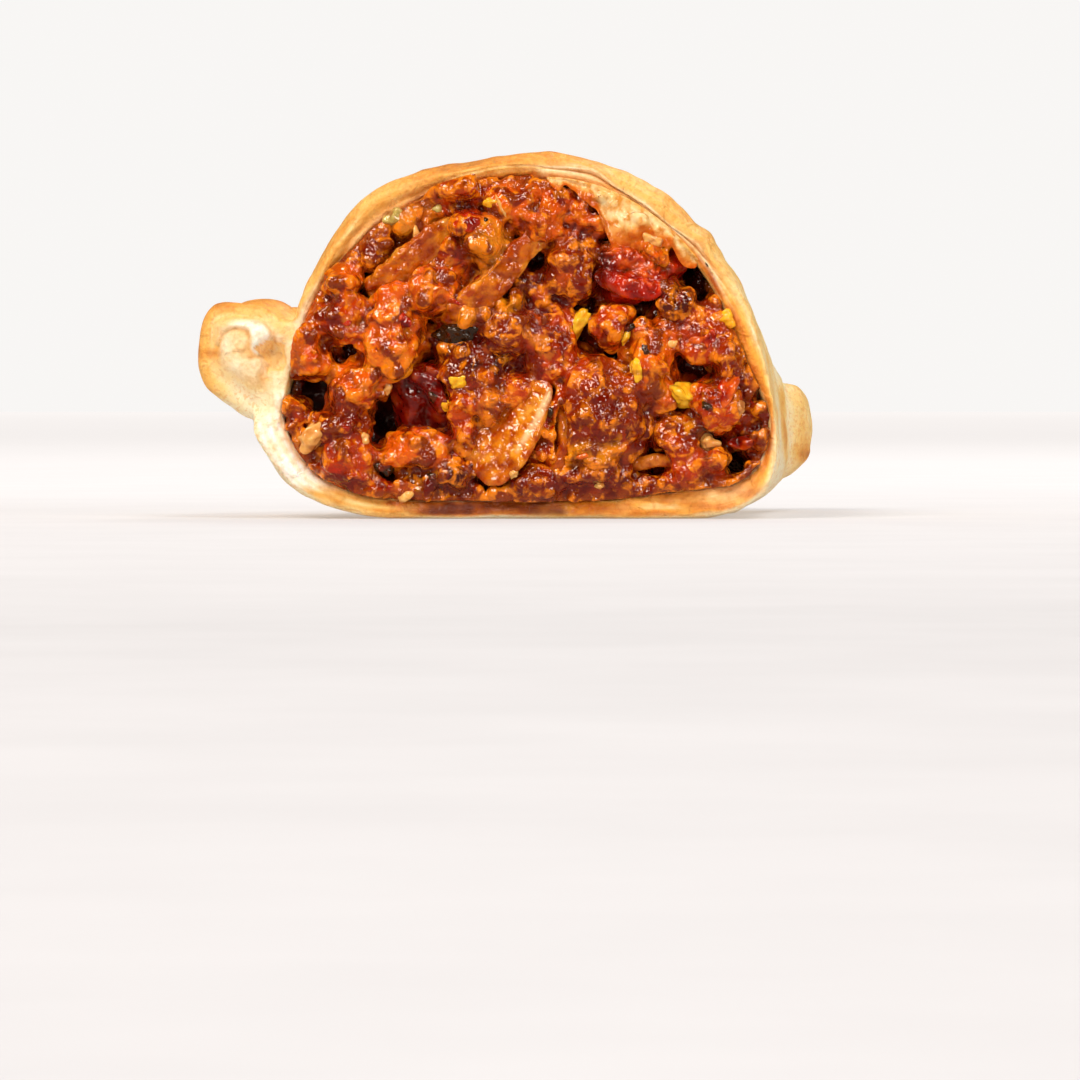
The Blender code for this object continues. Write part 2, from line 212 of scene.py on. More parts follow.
radius = add(tree, "VectorMath", {"operation": "LENGTH"}, {0: on_card})
side_reach = {"From Min": SIDE_STARTS, "From Max": SIDE_FULL, "To Max": SIDE_GLOW}
side = add(tree, "MapRange", SOFT, {"Value": radius, **side_reach})
far_glow = add(tree, "Math", {"operation": "MAXIMUM"}, {0: sweep, 1: side})
card_look = {"Base Color": seen_tone, "Roughness": 0.6, "Specular IOR Level": 0.0}
fill(surface, {**card_look, "Emission Color": linear("#fdf8f5"), "Emission Strength": far_glow})
table.data.materials.append(card)
print("card glows", SWEEP[0][1], "in front,", SWEEP[-1][1], "at the back")

# %% [markdown]
# A highlight on something wet is a mirror image of a lamp: a point of light gives glitter, a window broad
# soft patches. Five large softboxes stand close round this food, the strongest high on the left, with weak
# ones low in front so that the holes are not black.


# %% Lights
def softbox(name, place, size, power, colour="#ffffff"):
    """A square light at a place in metres from the food, facing it."""
    data = bpy.data.lights.new(name, "AREA")
    data.shape = "SQUARE"
    data.size = size
    data.energy = power
    data.color = linear(colour)[:3]
    light = bpy.data.objects.new(name, data)
    bpy.context.scene.collection.objects.link(light)
    light.location = place
    light.rotation_euler = (Vector(FOOD_MIDDLE) - light.location).to_track_quat("-Z", "Y").to_euler()


FOOD_MIDDLE = (0, 0, 0.02)
softbox("key", (-0.50, -0.62, 0.80), 0.42, 8.4, "#fffaf3")
softbox("fill", (0.75, -0.70, 0.32), 0.30, 3.4, "#fafcff")
softbox("low_front", (-0.30, -0.90, 0.16), 0.20, 1.6)
softbox("high_front", (0.25, -0.55, 0.95), 0.28, 3.2)
softbox("edge", (0.35, 0.55, 0.75), 0.30, 1.6)

# %% [markdown]
# The rest of the light comes from the white room. The wall behind the food is the brightest, the one behind
# the camera nearly dark, which leaves soft shade on the cut and keeps its colours deep. What the camera
# sees of the room is one even near-white.

# %% Bright walls and ceiling
# where on the sky a soft edge of light starts and ends, and how bright it is on either side
WALL = {"From Min": -0.6, "From Max": 0.95, "To Min": 0.04, "To Max": 0.70}
CEILING = {"From Min": 0.10, "From Max": 0.95, "To Min": 0.0, "To Max": 0.20}
SEEN_BRIGHTNESS = 0.94
studio = bpy.data.worlds.new("studio")
studio.use_nodes = True
sky = studio.node_tree
direction = add(sky, "TexCoord").outputs["Generated"]
towards = add(sky, "SeparateXYZ", None, {"Vector": direction})
wall = add(sky, "MapRange", SOFT, {"Value": towards.outputs["Y"], **WALL})
ceiling = add(sky, "MapRange", SOFT, {"Value": towards.outputs["Z"], **CEILING})
glow = add(sky, "Math", {"operation": "ADD"}, {0: wall, 1: ceiling})
rays = add(sky, "LightPath").outputs
flags = {0: rays["Is Glossy Ray"], 1: MIRRORED_SHARE - 1, 2: 1.0}
flags = add(sky, "Math", {"operation": "MULTIPLY_ADD"}, flags)
flagged = add(sky, "Math", {"operation": "MULTIPLY"}, {0: glow, 1: flags})
seen_or_lit = {"Factor": rays["Is Camera Ray"], "A": flagged, "B": SEEN_BRIGHTNESS}
strength = add(sky, "Mix", {"data_type": "FLOAT"}, seen_or_lit)
fill(sky.nodes["Background"], {"Color": linear("#fffdfb"), "Strength": strength})
bpy.context.scene.world = studio
bpy.context.scene.view_settings.view_transform = "Standard"
print("room wired with", len(sky.nodes), "nodes")

# %% [markdown]
# ## The dough
#
# The parcel is one sheet of dough folded over: flat below, a rounded fold on the right, a dome above, and a
# seam on the left. Its section is four quarter superellipses and a flat base, and it shrinks towards the
# far corner along an ellipse. These are the same named sizes that the solids were built from, drawn with
# finer steps.

# %% Sizes of the parcel, in millimetres
CROWN_HEIGHT, FOLD_ALONG, SEAM_ALONG, SEAM_UP = 43.1, 68.1, 6.5, 16.0
PLAN_DEPTH, TIP_ALONG = 52.0, 66.0
HORN_FLARE, TIP_TOP, TIP_LIFT, LIFT_STARTS = 4.0, 17.5, 5.0, 0.55
SEAM_DROP, FOLD_UP, FOLD_RISE = 7.0, 8.0, 2.5
# where the crown, the lip of the seam, the lower corner and the heel lie, as shares of the width
CROWN_SHARE, LIP_SHARE, CORNER_SHARE, HEEL_SHARE = 0.547, 0.054, 0.163, 0.284
FINER = 3
RUN_POINTS = tuple(FINER * n for n in (11, 12, 5, 4, 8))
print("parcel", CROWN_HEIGHT, "mm high,", FOLD_ALONG, "mm to its fold,", sum(RUN_POINTS) + 1, "points round")


# %% The outline at any depth
def superellipse_run(middle, radii, start, end, count, power):
    """A run of points round part of a superellipse, from one angle in degrees up to another."""
    turn = np.radians(start + (end - start) * np.arange(count) / count)
    across, rise = np.cos(turn), np.sin(turn)
    return np.column_stack(
        [
            middle[0] + radii[0] * np.copysign(np.abs(across) ** (2 / power), across),
            middle[1] + radii[1] * np.copysign(np.abs(rise) ** (2 / power), rise),
        ]
    )


def seam_height(turn):
    """How high the seam runs; it drops towards the far corner."""
    return SEAM_UP - SEAM_DROP * min(max(turn / math.radians(90), 0), 1) ** 2


def dough_outline(depth):
    """The parcel's outline at this depth, clockwise from the seam, as rows of (along, up)."""
    share = min(max(depth / PLAN_DEPTH, 0), 1)
    turn = math.asin(share)
    left = TIP_ALONG - (TIP_ALONG - SEAM_ALONG) * math.cos(turn)
    right = FOLD_ALONG + HORN_FLARE * share**2
    width = right - left
    top = TIP_TOP + (CROWN_HEIGHT - TIP_TOP) * math.cos(turn)
    base = TIP_LIFT * (max(share - LIFT_STARTS, 0) / (1 - LIFT_STARTS)) ** 2
    seam = seam_height(turn)
    fold = FOLD_UP + FOLD_RISE * share
    crown, lip = left + CROWN_SHARE * width, left + LIP_SHARE * width
    corner, heel = CORNER_SHARE * width, HEEL_SHARE * width
    n = RUN_POINTS
    flat = np.linspace(right - corner, left + heel, n[3], endpoint=False)
    return np.vstack(
        [
            superellipse_run((crown, seam), (crown - lip, top - seam), 180, 90, n[0], 2.0),
            superellipse_run((crown, fold), (right - crown, top - fold), 90, 0, n[1], 2.0),
            superellipse_run((right - corner, fold), (corner, fold - base), 0, -90, n[2], 2.2),
            np.column_stack([flat, np.full(n[3], base)]),
            superellipse_run((left + heel, seam), (heel, seam - base), -90, -180, n[4], 2.3),
            [(left, seam)],
        ]
    )


print("at 26 mm deep the parcel is", round(np.ptp(dough_outline(26.0)[:, 0]), 1), "mm wide")

# %% [markdown]
# The hollow follows the parcel's outline, a wall further in. Near the cut the filling has stretched the
# folded side thin, and the dough that it gave way to lies doubled under it.

# %% The hollow's outline
RUN_WALLS = ((1.3, 3.0), (3.6, 2.7), (2.7, 2.3), (2.2, 2.3), (2.4, 3.2))  # wall at each run's start and end
WALL_THICKENING = 0.9  # share by which the wall is thicker at the far corner
CAVITY_DEPTH = 44.0
THIN_UP, THIN_REACH, THIN_BY = 11.8, 4.6, 1.7
HEAP_ALONG, HEAP_REACH, HEAP_BY, HEAP_BELOW = 58.5, 7.0, 1.4, 6.0
STRETCH_REACH = 14.0  # both changes have faded out at this depth


def inner_outline(depth, gap=0.0):
    """The hollow's outline: the parcel's own, moved in by the wall and a gap, without the seam's corner."""
    outline = dough_outline(depth)
    runs = [np.linspace(*ends, count, endpoint=False) for count, ends in zip(RUN_POINTS, RUN_WALLS)]
    walls = np.concatenate([*runs, [RUN_WALLS[-1][1]]])
    thicken = 1 + WALL_THICKENING * min(max(depth / PLAN_DEPTH, 0), 1) ** 3
    step = np.roll(outline, -1, axis=0) - np.roll(outline, 1, axis=0)
    step /= np.linalg.norm(step, axis=1)[:, None]
    inset = (walls * thicken + gap)[:, None]
    moved = outline + np.column_stack([step[:, 1], -step[:, 0]]) * inset
    near_cut = min(max(1 - depth / STRETCH_REACH, 0), 1)
    thin = THIN_BY * np.exp(-(((moved[:, 1] - THIN_UP) / THIN_REACH) ** 2)) * (moved[:, 0] > FOLD_ALONG / 2)
    moved[:, 0] += thin * near_cut
    heap = HEAP_BY * np.exp(-(((moved[:, 0] - HEAP_ALONG) / HEAP_REACH) ** 2)) * (moved[:, 1] < HEAP_BELOW)
    moved[:, 1] += heap * near_cut
    return moved[FINER:-FINER]


print("folded side", round(FOLD_ALONG - float(inner_outline(0.0)[:, 0].max()), 1), "mm thick at the cut")

# %% [markdown]
# The parcel is lofted through its outlines from a little before the cut to the far corner, and the hollow
# inside it in the same way. Both could be sculpted, but a loft keeps the wall's thickness known everywhere,
# and that is what the layers, stains and creases are placed by.


# %% Closed solids through rings of points
def mesh_object(name, points, faces):
    """An object from points in face coordinates and lists of point numbers."""
    data = bpy.data.meshes.new(name)
    data.from_pydata([tuple(p) for p in points], [], [tuple(f) for f in faces])
    data.update()
    made = bpy.data.objects.new(name, data)
    bpy.context.scene.collection.objects.link(made)
    return made


def turn_faces_out(piece):
    """Makes every face of a closed mesh look outwards."""
    mesh = bmesh.new()
    mesh.from_mesh(piece.data)
    bmesh.ops.recalc_face_normals(mesh, faces=mesh.faces)
    mesh.to_mesh(piece.data)
    mesh.free()


def loft(name, rings):
    """A closed solid through rings of equal length, each a list of (along, depth, up)."""
    count = len(rings[0])
    faces = []
    for row, i in itertools.product(range(len(rings) - 1), range(count)):
        a, b = row * count + i, row * count + (i + 1) % count
        faces.append((a, b, b + count, a + count))
    last = (len(rings) - 1) * count
    faces += [tuple(range(count))[::-1], tuple(range(last, last + count))]
    made = mesh_object(name, np.vstack(rings), faces)
    turn_faces_out(made)
    return made


def ring_at(outline, depth):
    return np.column_stack([outline[:, 0], np.full(len(outline), depth), outline[:, 1]])


# %% Parcel and hollow
BEFORE_CUT = 4.0
PARCEL_TURNS, HOLLOW_TURNS, FAR_TURN = 54, 33, math.radians(84)
parcel_depths = [PLAN_DEPTH * math.sin(FAR_TURN * k / PARCEL_TURNS) for k in range(PARCEL_TURNS + 1)]
hollow_reach = math.asin(CAVITY_DEPTH / PLAN_DEPTH)
hollow_depths = [PLAN_DEPTH * math.sin(hollow_reach * k / HOLLOW_TURNS) for k in range(HOLLOW_TURNS + 1)]
crust = loft("crust_baked", [ring_at(dough_outline(d), d) for d in (-BEFORE_CUT, *parcel_depths)])
hollow = loft("hollow", [ring_at(inner_outline(d), d) for d in (-2 * BEFORE_CUT, *hollow_depths)])
print("lofted:", len(crust.data.vertices), "and", len(hollow.data.vertices), "points")

# %% [markdown]
# The crimp is rolled by hand: the two edges are twisted over themselves again and again, so each turn
# swells up and then tucks under the next. It is modelled as a tube whose radius rises slowly and falls fast
# along a helix, with every turn a little bigger or smaller than its neighbours.

# %% The rope's line
ROPE_OUT, ROPE_RISE = 0.5, 3.3
ROPE_STARTS, ROPE_ENDS = math.radians(-7), math.radians(98)
ROPE_STATIONS = 300
turns = np.linspace(ROPE_STARTS, ROPE_ENDS, ROPE_STATIONS)
rope_line = np.column_stack(
    [
        TIP_ALONG - (TIP_ALONG - SEAM_ALONG + ROPE_OUT) * np.cos(turns),
        PLAN_DEPTH * np.sin(turns),
        [seam_height(turn) + ROPE_RISE for turn in turns],
    ]
)
travelled = np.concatenate([[0], np.cumsum(np.linalg.norm(np.diff(rope_line, axis=0), axis=1))])
turn_sizes = rng.uniform(-0.07, 0.06, 20)
print("rope length", round(travelled[-1], 1), "mm")

# %% The rope
ROPE_RADIUS, ROPE_SPREAD, ROPE_SIDES = 6.1, 1.0, 56
ROPE_PITCH, ROPE_GROOVE, ROPE_NECK = 10.8, 0.30, 0.13
ROPE_ROUNDING, SMALLEST_END = 5.0, 0.05  # the far end closes over this length, down to this share
TWIST_PHASE = 0.62


def rope_rings():
    """The twisted tube's rings, one for each station of its line."""
    rings = []
    for index, middle in enumerate(rope_line):
        ahead = rope_line[min(index + 1, len(rope_line) - 1)] - rope_line[max(index - 1, 0)]
        outward = -np.cross(ahead, (0, 0, 1))
        outward /= np.linalg.norm(outward)
        upward = np.cross(outward, ahead)
        upward *= np.sign(upward[2]) / np.linalg.norm(upward)
        to_end = min((travelled[-1] - travelled[index]) / ROPE_ROUNDING, 1)
        rounding = max(math.sqrt(1 - (1 - to_end) ** 2), SMALLEST_END)
        swing = 2 * np.pi * np.arange(ROPE_SIDES) / ROPE_SIDES
        phase = travelled[index] / ROPE_PITCH + swing / (2 * np.pi) + TWIST_PHASE
        within = phase - np.floor(phase)
        swell = np.sin(np.pi * within**0.8) ** 0.55
        size = 1 + turn_sizes[np.floor(phase).astype(int)] * np.sin(np.pi * within) ** 0.3
        dip = size - ROPE_GROOVE * (1 - swell) + ROPE_NECK * np.maximum(-np.sin(swing), 0) ** 1.5
        radius = (ROPE_RADIUS + ROPE_SPREAD * travelled[index] / travelled[-1]) * rounding * dip
        way = np.cos(swing)[:, None] * outward + np.sin(swing)[:, None] * upward
        rings.append(middle + radius[:, None] * way)
    return rings


rope = loft("rope", rope_rings())
print("rope twisted", round(travelled[-1] / ROPE_PITCH, 1), "times")

# %% [markdown]
# A kitchen knife cuts the finished parcel, so the model is joined first and cut last: rope on, hollow out,
# and then everything before the cut plane away. Booleans do that exactly. Both skins are kept as they are
# before the cut, because the dough's layers are measured from them.


# %% Join, hollow out and cut
def apply_modifiers(piece):
    """Puts the result of a piece's modifiers in the place of its mesh."""
    made = bpy.data.meshes.new_from_object(piece.evaluated_get(bpy.context.evaluated_depsgraph_get()))
    piece.modifiers.clear()
    piece.data = made


def boolean(piece, other, operation):
    """One Boolean between two closed meshes, applied; the second is used up."""
    step = piece.modifiers.new(operation.lower(), "BOOLEAN")
    step.operation = operation
    step.object = other
    step.solver = "MANIFOLD"
    apply_modifiers(piece)
    bpy.data.objects.remove(other)


def skin_of(piece):
    """A piece's surface as it is now, ready for its nearest points and for rays to be looked up."""
    return BVHTree.FromPolygons(
        [v.co.copy() for v in piece.data.vertices], [tuple(p.vertices) for p in piece.data.polygons]
    )


KNIFE_SIZE, KNIFE_MIDDLE = 120, (34, -60, 20)  # its far side lies in the cut plane
boolean(crust, rope, "UNION")
outer_skin = skin_of(crust)
inner_skin = skin_of(hollow)
boolean(crust, hollow, "DIFFERENCE")
bpy.ops.mesh.primitive_cube_add(size=KNIFE_SIZE)
knife = bpy.context.object
knife.data.transform(Matrix.Translation(KNIFE_MIDDLE))
boolean(crust, knife, "DIFFERENCE")
print("cut crust:", len(crust.data.polygons), "faces")

# %% [markdown]
# A voxel remesh melts parcel and rope into one skin with small even faces. The wall inside, which the
# filling hides, is thinned out again. Where the knife passed, the faces are divided once more, so that thin
# layers and creases can be carved there.


# %% Numbers in and out of a mesh
def rows_of(values, key):
    """Rows of three numbers, read from all of a mesh's points at once."""
    flat = np.empty(len(values) * 3, np.float32)
    values.foreach_get(key, flat)
    return flat.reshape(-1, 3).astype(float)


def points_of(piece):
    return rows_of(piece.data.vertices, "co")


def normals_of(piece):
    return rows_of(piece.data.vertex_normals, "vector")


def move_points(piece, points):
    piece.data.vertices.foreach_set("co", np.asarray(points, np.float32).ravel())
    piece.data.update()


def triangles_of(piece):
    return sum(len(face.vertices) - 2 for face in piece.data.polygons)


print("before it is melted:", triangles_of(crust), "triangles")


# %% Melt and even out
def melt(piece, voxel):
    """Voxel remesh: overlapping shells become one skin with evenly small faces."""
    step = piece.modifiers.new("melt", "REMESH")
    step.mode = "VOXEL"
    step.voxel_size = voxel
    apply_modifiers(piece)


def neighbour_mean(piece):
    """A function that replaces each point's values by the mean over the points it shares an edge with."""
    edges = np.empty(len(piece.data.edges) * 2, np.int32)
    piece.data.edges.foreach_get("vertices", edges)
    a, b = edges.reshape(-1, 2).T
    count = len(piece.data.vertices)
    degree = np.maximum(np.bincount(np.concatenate([a, b]), minlength=count), 1)

    def mean(values):
        values = np.asarray(values, float).reshape(count, -1)
        columns = [
            np.bincount(a, column[b], minlength=count) + np.bincount(b, column[a], minlength=count)
            for column in values.T
        ]
        return np.column_stack(columns) / degree[:, None]

    return mean


def relax(piece, rounds):
    """Evens a surface out: each point goes half way to its neighbours' mean."""
    mean = neighbour_mean(piece)
    points = points_of(piece)
    for _ in range(rounds):
        points += 0.5 * (mean(points) - points)
    move_points(piece, points)


CRUST_VOXEL = 0.425
melt(crust, CRUST_VOXEL)
relax(crust, 3)
print("melted:", triangles_of(crust), "triangles")


# %% Thin out what the filling hides
def skin_distance(points, skin):
    """How deep each point lies under a skin, and that skin's outward direction there."""
    found = [skin.find_nearest(p) for p in points]
    distance = np.array([f[3] for f in found])
    outward = np.array([f[1] for f in found])
    beyond = ((points - np.array([f[0] for f in found])) * outward).sum(axis=1) > 0
    return np.where(beyond, -distance, distance), outward


def thin_out(piece, chosen, ratio):
    """Decimates the chosen points' faces, which nobody sees, and leaves the others nearly as they are."""
    piece.vertex_groups.new(name="chosen").add([int(i) for i in np.flatnonzero(chosen)], 1.0, "REPLACE")
    step = piece.modifiers.new("thin", "DECIMATE")
    step.ratio = ratio
    step.vertex_group = "chosen"
    step.vertex_group_factor = 10.0
    apply_modifiers(piece)
    piece.vertex_groups.clear()


WALL_SKIN, WALL_FROM = 0.3, 3.0  # millimetres from the hollow's wall, and behind the cut
points = points_of(crust)
on_wall = np.abs(skin_distance(points, inner_skin)[0]) < WALL_SKIN
thin_out(crust, on_wall & (points[:, 1] > WALL_FROM), 0.66)
print("thinned:", triangles_of(crust), "triangles")

# %% Divide the faces at the cut
CARVED_DEPTH = 1.0
mesh = bmesh.new()
mesh.from_mesh(crust.data)
near_cut = [e for e in mesh.edges if all(v.co.y < CARVED_DEPTH for v in e.verts)]
bmesh.ops.subdivide_edges(mesh, edges=near_cut, cuts=1, use_grid_fill=True)
bmesh.ops.triangulate(mesh, faces=[f for f in mesh.faces if len(f.verts) > 4])
mesh.to_mesh(crust.data)
mesh.free()
print("divided:", triangles_of(crust), "triangles")

# %% [markdown]
# Everything that happens to dough depends on where in it one looks: how deep under the skin, how far from
# the filling, how near the rope. Those distances are measured once for every point and then only combined.
# Each is a soft mask from 0 to 1, or millimetres.


# %% Soft edges
def smoothstep(low, high, value):
    """Fades from 0 at low to 1 at high, also where low is the larger of the two."""
    share = np.clip((np.asarray(value, float) - low) / (high - low), 0, 1)
    return share * share * (3 - 2 * share)


even_out = neighbour_mean(crust)


def evened(values, rounds):
    """Values of the crust's points, evened out over their neighbours."""
    for _ in range(rounds):
        values = even_out(values)
    return values[:, 0] if values.shape[1] == 1 else values


print("a fade from 0 to 1 passes", smoothstep(0, 1, [0.25, 0.5, 0.75]).round(2))

# %% Depth under the two skins
points = points_of(crust)
skin_depth, outward = skin_distance(points, outer_skin)
outward = evened(outward, 5)
steady = smoothstep(0.80, 0.97, np.linalg.norm(outward, axis=1))  # 0 where two skins are equally near
outward /= np.linalg.norm(outward, axis=1)[:, None]
in_plane = outward * (1, 0, 1)
in_plane /= np.maximum(np.linalg.norm(in_plane, axis=1), 0.4)[:, None]
fill_depth = -skin_distance(points, inner_skin)[0]
under_skin, off_filling = np.clip(skin_depth, 0, None), np.clip(fill_depth, 0, None)
layer = under_skin / (under_skin + off_filling + 1e-6)  # 0 at the skin, 1 at the filling
print("walls reach", round(skin_depth.max(), 1), "mm deep")


# %% Distance from the rope and from its cut end
def nearest_of(places, points):
    """For each point the number of the nearest of these places, and how far away that is."""
    tree = KDTree(len(places))
    for index, place in enumerate(places):
        tree.insert(place, index)
    tree.balance()
    found = [tree.find(p) for p in points]
    return np.array([f[1] for f in found]), np.array([f[2] for f in found])


station, line_far = nearest_of(rope_line, points)
rope_far = line_far - ROPE_RADIUS
rope_along = travelled[station]
along, depth, up = points.T
KNOB_MIDDLE = (6.2, 19.2)
knob_far = np.hypot(along - KNOB_MIDDLE[0], up - KNOB_MIDDLE[1])
knob = smoothstep(9.2, 5.2, knob_far) * smoothstep(13.0, 10.5, along)
print("points on the rope's end:", int((knob > 0.5).sum()))

# %% [markdown]
# ## Noise without a texture
#
# Crumbly and baked surfaces are real relief here, so points are moved by noise, which numpy makes for all
# points at once: a number for each cell of space, faded smoothly into the next. Each call has a salt, a
# number that picks one noise out of endlessly many.


# %% Waves
def lattice(cells, salt):
    """A number from 0 to 1 for each whole-numbered cell; the same cell always gets the same number."""
    along, across, above = np.moveaxis(cells, -1, 0)
    mixed = along * 73856093 ^ across * 19349663 ^ above * 83492791 ^ (salt + 1) * 2654435761
    mixed = (mixed ^ (mixed >> 13)) * 1274126177
    return ((mixed ^ (mixed >> 16)) & 0xFFFF) / 65535


def waves(points, length, salt=0):
    """Smooth noise from -1 to 1 whose hills are about this many millimetres apart."""
    scaled = np.asarray(points) / length + salt * 7.3
    cell = np.floor(scaled).astype(np.int64)
    part = scaled - cell
    part = part * part * (3 - 2 * part)
    total = np.zeros(len(scaled))
    for corner in itertools.product((0, 1), repeat=3):
        weight = np.prod(np.where(corner, part, 1 - part), axis=1)
        total += weight * lattice(cell + np.array(corner), salt)
    return total * 2 - 1


hills = waves(points, 17, 1)
print("broad hills on the dough reach", round(hills.max(), 2))

# %% [markdown]
# ## Relief of the dough
#
# The crust is never smooth: the filling pushes lumps through it, steam lifts small blisters, and the
# twisting pulls creases into the dome beside the rope. The knife drags the dough's edge inwards, most over
# the soft dome, so a rim of the outer skin shows round the cut.

# %% Lumps, blisters and creases
CREASE_SPACING, CREASE_REACH = 5.4, 4.0
on_skin = smoothstep(0.9, 0.2, skin_depth)
dome = on_skin * smoothstep(0.5, 3.0, rope_far)
lumpy = 0.36 * hills + 0.26 * waves(points, 7.5, 2)
blisters = 0.22 * smoothstep(0.25, 0.7, waves(points, 3.2, 4)) + 0.09 * waves(points, 1.6, 5)
creases = np.exp(-np.clip(rope_far, 0, None) / CREASE_REACH)
creases *= 0.3 * np.sin(rope_along * 2 * np.pi / CREASE_SPACING + 2 * waves(points, 6, 6))
relief = on_skin * (lumpy + blisters) + dome * creases
relief *= smoothstep(0.0, 2.5, up) * 0.85 + 0.15
relief = evened(relief, 1)
print("relief up to", round(relief.max(), 2), "mm")

# %% The dragged edge
DRAG_DEPTH = 4.0
pull_reach = 0.3 + 1.0 * smoothstep(20, 34, up) + 0.45 * smoothstep(44, 56, along) * smoothstep(20, 30, up)
pull_reach = pull_reach * (1 - knob) + 0.9 * knob
pull = pull_reach * np.clip(1 - depth / DRAG_DEPTH, 0, 1) ** 2 * (1 - layer)
pull *= (1 + 0.5 * waves(points, 5.0, 3)) * smoothstep(3.2, 0.8, skin_depth)
pull = evened(pull * steady, 3)
on_cut = smoothstep(-0.6, -0.9, normals_of(crust)[:, 1]) * smoothstep(1.2, 0.5, depth)
moved = points - in_plane * pull[:, None] + outward * (relief * (1 - on_cut))[:, None]
print("the knife drags the edge by up to", round(pull.max(), 2), "mm")


# %% [markdown]
# A hand doesn't fold an even shape. The parcel is fuller at some places and slacker at others, the horn
# hangs below the line of the fold, and behind the cut the underside curls up towards it.

# %% Fuller and slacker places
def spot(x, z, middle, size, squash=1.0):
    """1 in the middle of a soft round mark on the cut, 0 away from it."""
    return np.exp(-((x - middle[0]) ** 2 + (squash * (z - middle[1])) ** 2) / size**2)


# along, up, reach and push, near the cut
FULLER = (
    (19.5, 37.5, 7.5, 1.7),
    (1.6, 24.4, 2.4, 1.1),
    (10.5, 4.6, 4.5, 0.6),
    (6.3, 10.2, 2.8, 1.0),
    (2.6, 13.6, 2.0, -0.5),
    (59.9, 33.4, 1.1, 0.5),
)
HORN_DROP = 2.3
CURL_ALONG, CURL_UP, CURL_BELOW = (60.5, 63.5, 66.0, 68.0, 71.0), (0.0, 0.7, 1.9, 2.5, 2.7), 10.0
for full_along, full_up, reach, push in FULLER:
    fuller = push * spot(along, up, (full_along, full_up), reach) * smoothstep(26, 6, depth)
    moved += in_plane * (evened(fuller * (1 - layer), 2))[:, None]
moved[:, 2] -= HORN_DROP * smoothstep(24, 44, depth) * smoothstep(50, 60, along)
curl = np.interp(along, CURL_ALONG, CURL_UP) * smoothstep(1.0, 6.0, depth)
moved[:, 2] += curl * np.clip(1 - up / CURL_BELOW, 0, 1)
print("shape changed by up to", round(np.abs(moved - points).max(), 1), "mm")

# %% [markdown]
# Rolled dough is laminated, and the knife shows it: along the dome the outer skin lifts off the layers
# under it, and in the rope's end the rolled edge lies curled up like a shell. Both are carved into the mesh
# by their distance from a named line, since a bump alone gives no shadow.

# %% Where the layers part
# the crease on the right of the dome: (along, depth under the skin) stations, and half its width
CREASE_ALONG, CREASE_UNDER, CREASE_WIDE = (38, 44, 49, 56, 61), (0.7, 1.5, 2.2, 1.6, 0.35), 0.26
LEFT_CREASE_UNDER, LEFT_CREASE_WIDE = 1.5, 0.22
LAYER_THICK = 0.95
roof = smoothstep(36, 43, along) * smoothstep(63, 60, along) * smoothstep(22, 28, up)
crease_at = np.interp(along, CREASE_ALONG, CREASE_UNDER)
crease_at += 0.45 * waves(points, 6, 7) + 0.2 * waves(points, 2.2, 13)
crease_wide = CREASE_WIDE + 0.16 * waves(points, 7, 14)
crease = np.exp(-(((skin_depth - crease_at) / np.clip(crease_wide, 0.12, 0.5)) ** 2)) * roof
left_dome = smoothstep(12, 16, along) * smoothstep(31, 26, along) * smoothstep(24, 28, up)
left_crease_at = LEFT_CREASE_UNDER + 0.5 * waves(points, 6, 16) + 0.2 * waves(points, 2.2, 17)
left_crease = np.exp(-(((skin_depth - left_crease_at) / LEFT_CREASE_WIDE) ** 2)) * left_dome
layers_deep = skin_depth + 0.5 * waves(points, 5, 8) + 0.2 * waves(points, 1.8, 15)
laminate = np.sin(2 * np.pi * layers_deep / LAYER_THICK)
print("points in a crease:", int((crease + left_crease > 0.5).sum()))

# %% The curled edge in the rope's end
# along, up and half its width
CURLED_EDGE = ((1.3, 20.9, 0.35), (2.0, 22.5, 0.5), (4.4, 23.4, 0.62), (6.8, 22.8, 0.9))
CURLED_EDGE += ((7.5, 21.2, 1.15), (7.1, 20.2, 0.8))
stations = np.linspace(0, len(CURLED_EDGE) - 1, 40)
known = range(len(CURLED_EDGE))
curled = np.column_stack([np.interp(stations, known, column) for column in zip(*CURLED_EDGE)])
fold_far = np.full(len(points), 9.0)
for edge_along, edge_up, half_wide in curled:
    fold_far = np.minimum(fold_far, np.hypot(along - edge_along, up - edge_up) - half_wide)
fold_far += 0.16 * waves(points, 2.0, 9)
fold = smoothstep(0.30, -0.35, fold_far) * knob
fold_shadow = np.exp(-(((fold_far - 0.40) / 0.24) ** 2)) * knob
print("points on the curled edge:", int((fold > 0.5).sum()))

# %% [markdown]
# The cut end of the rope closes up again like a knuckle, so it is domed rather than flat, and everywhere
# else the knife leaves the face a little ragged. Broad forms are evened before they are carved and fine
# ones are not.

# %% Carve the cut face
KNUCKLE_DOME, KNUCKLE_REACH = 2.4, 4.2
BROAD_FADES, KNUCKLE_FADES = 5.0, 6.0  # millimetres behind the cut
FOLD_LIFT, FOLD_GROOVE = 0.50, 0.42
ragged = 0.28 * waves(points, 3.4, 10) + 0.14 * waves(points, 1.3, 11)
broad = knob * (KNUCKLE_DOME * np.clip(1 - np.clip(skin_depth, 0, 6) / KNUCKLE_REACH, 0, 1) ** 1.8)
broad += (ragged + 0.35) * (1 - 0.7 * knob) + 0.4 * smoothstep(1.1, 0.2, fill_depth) * (1 - knob)
fine = 0.7 * crease + 0.45 * left_crease + 0.025 * laminate * (1 - knob)
moved[:, 1] += evened(broad, 8) * np.clip(1 - depth / BROAD_FADES, 0, 1) ** 1.5 + on_cut * evened(fine, 1)
near_knuckle = smoothstep(KNUCKLE_FADES, 3.0, depth)
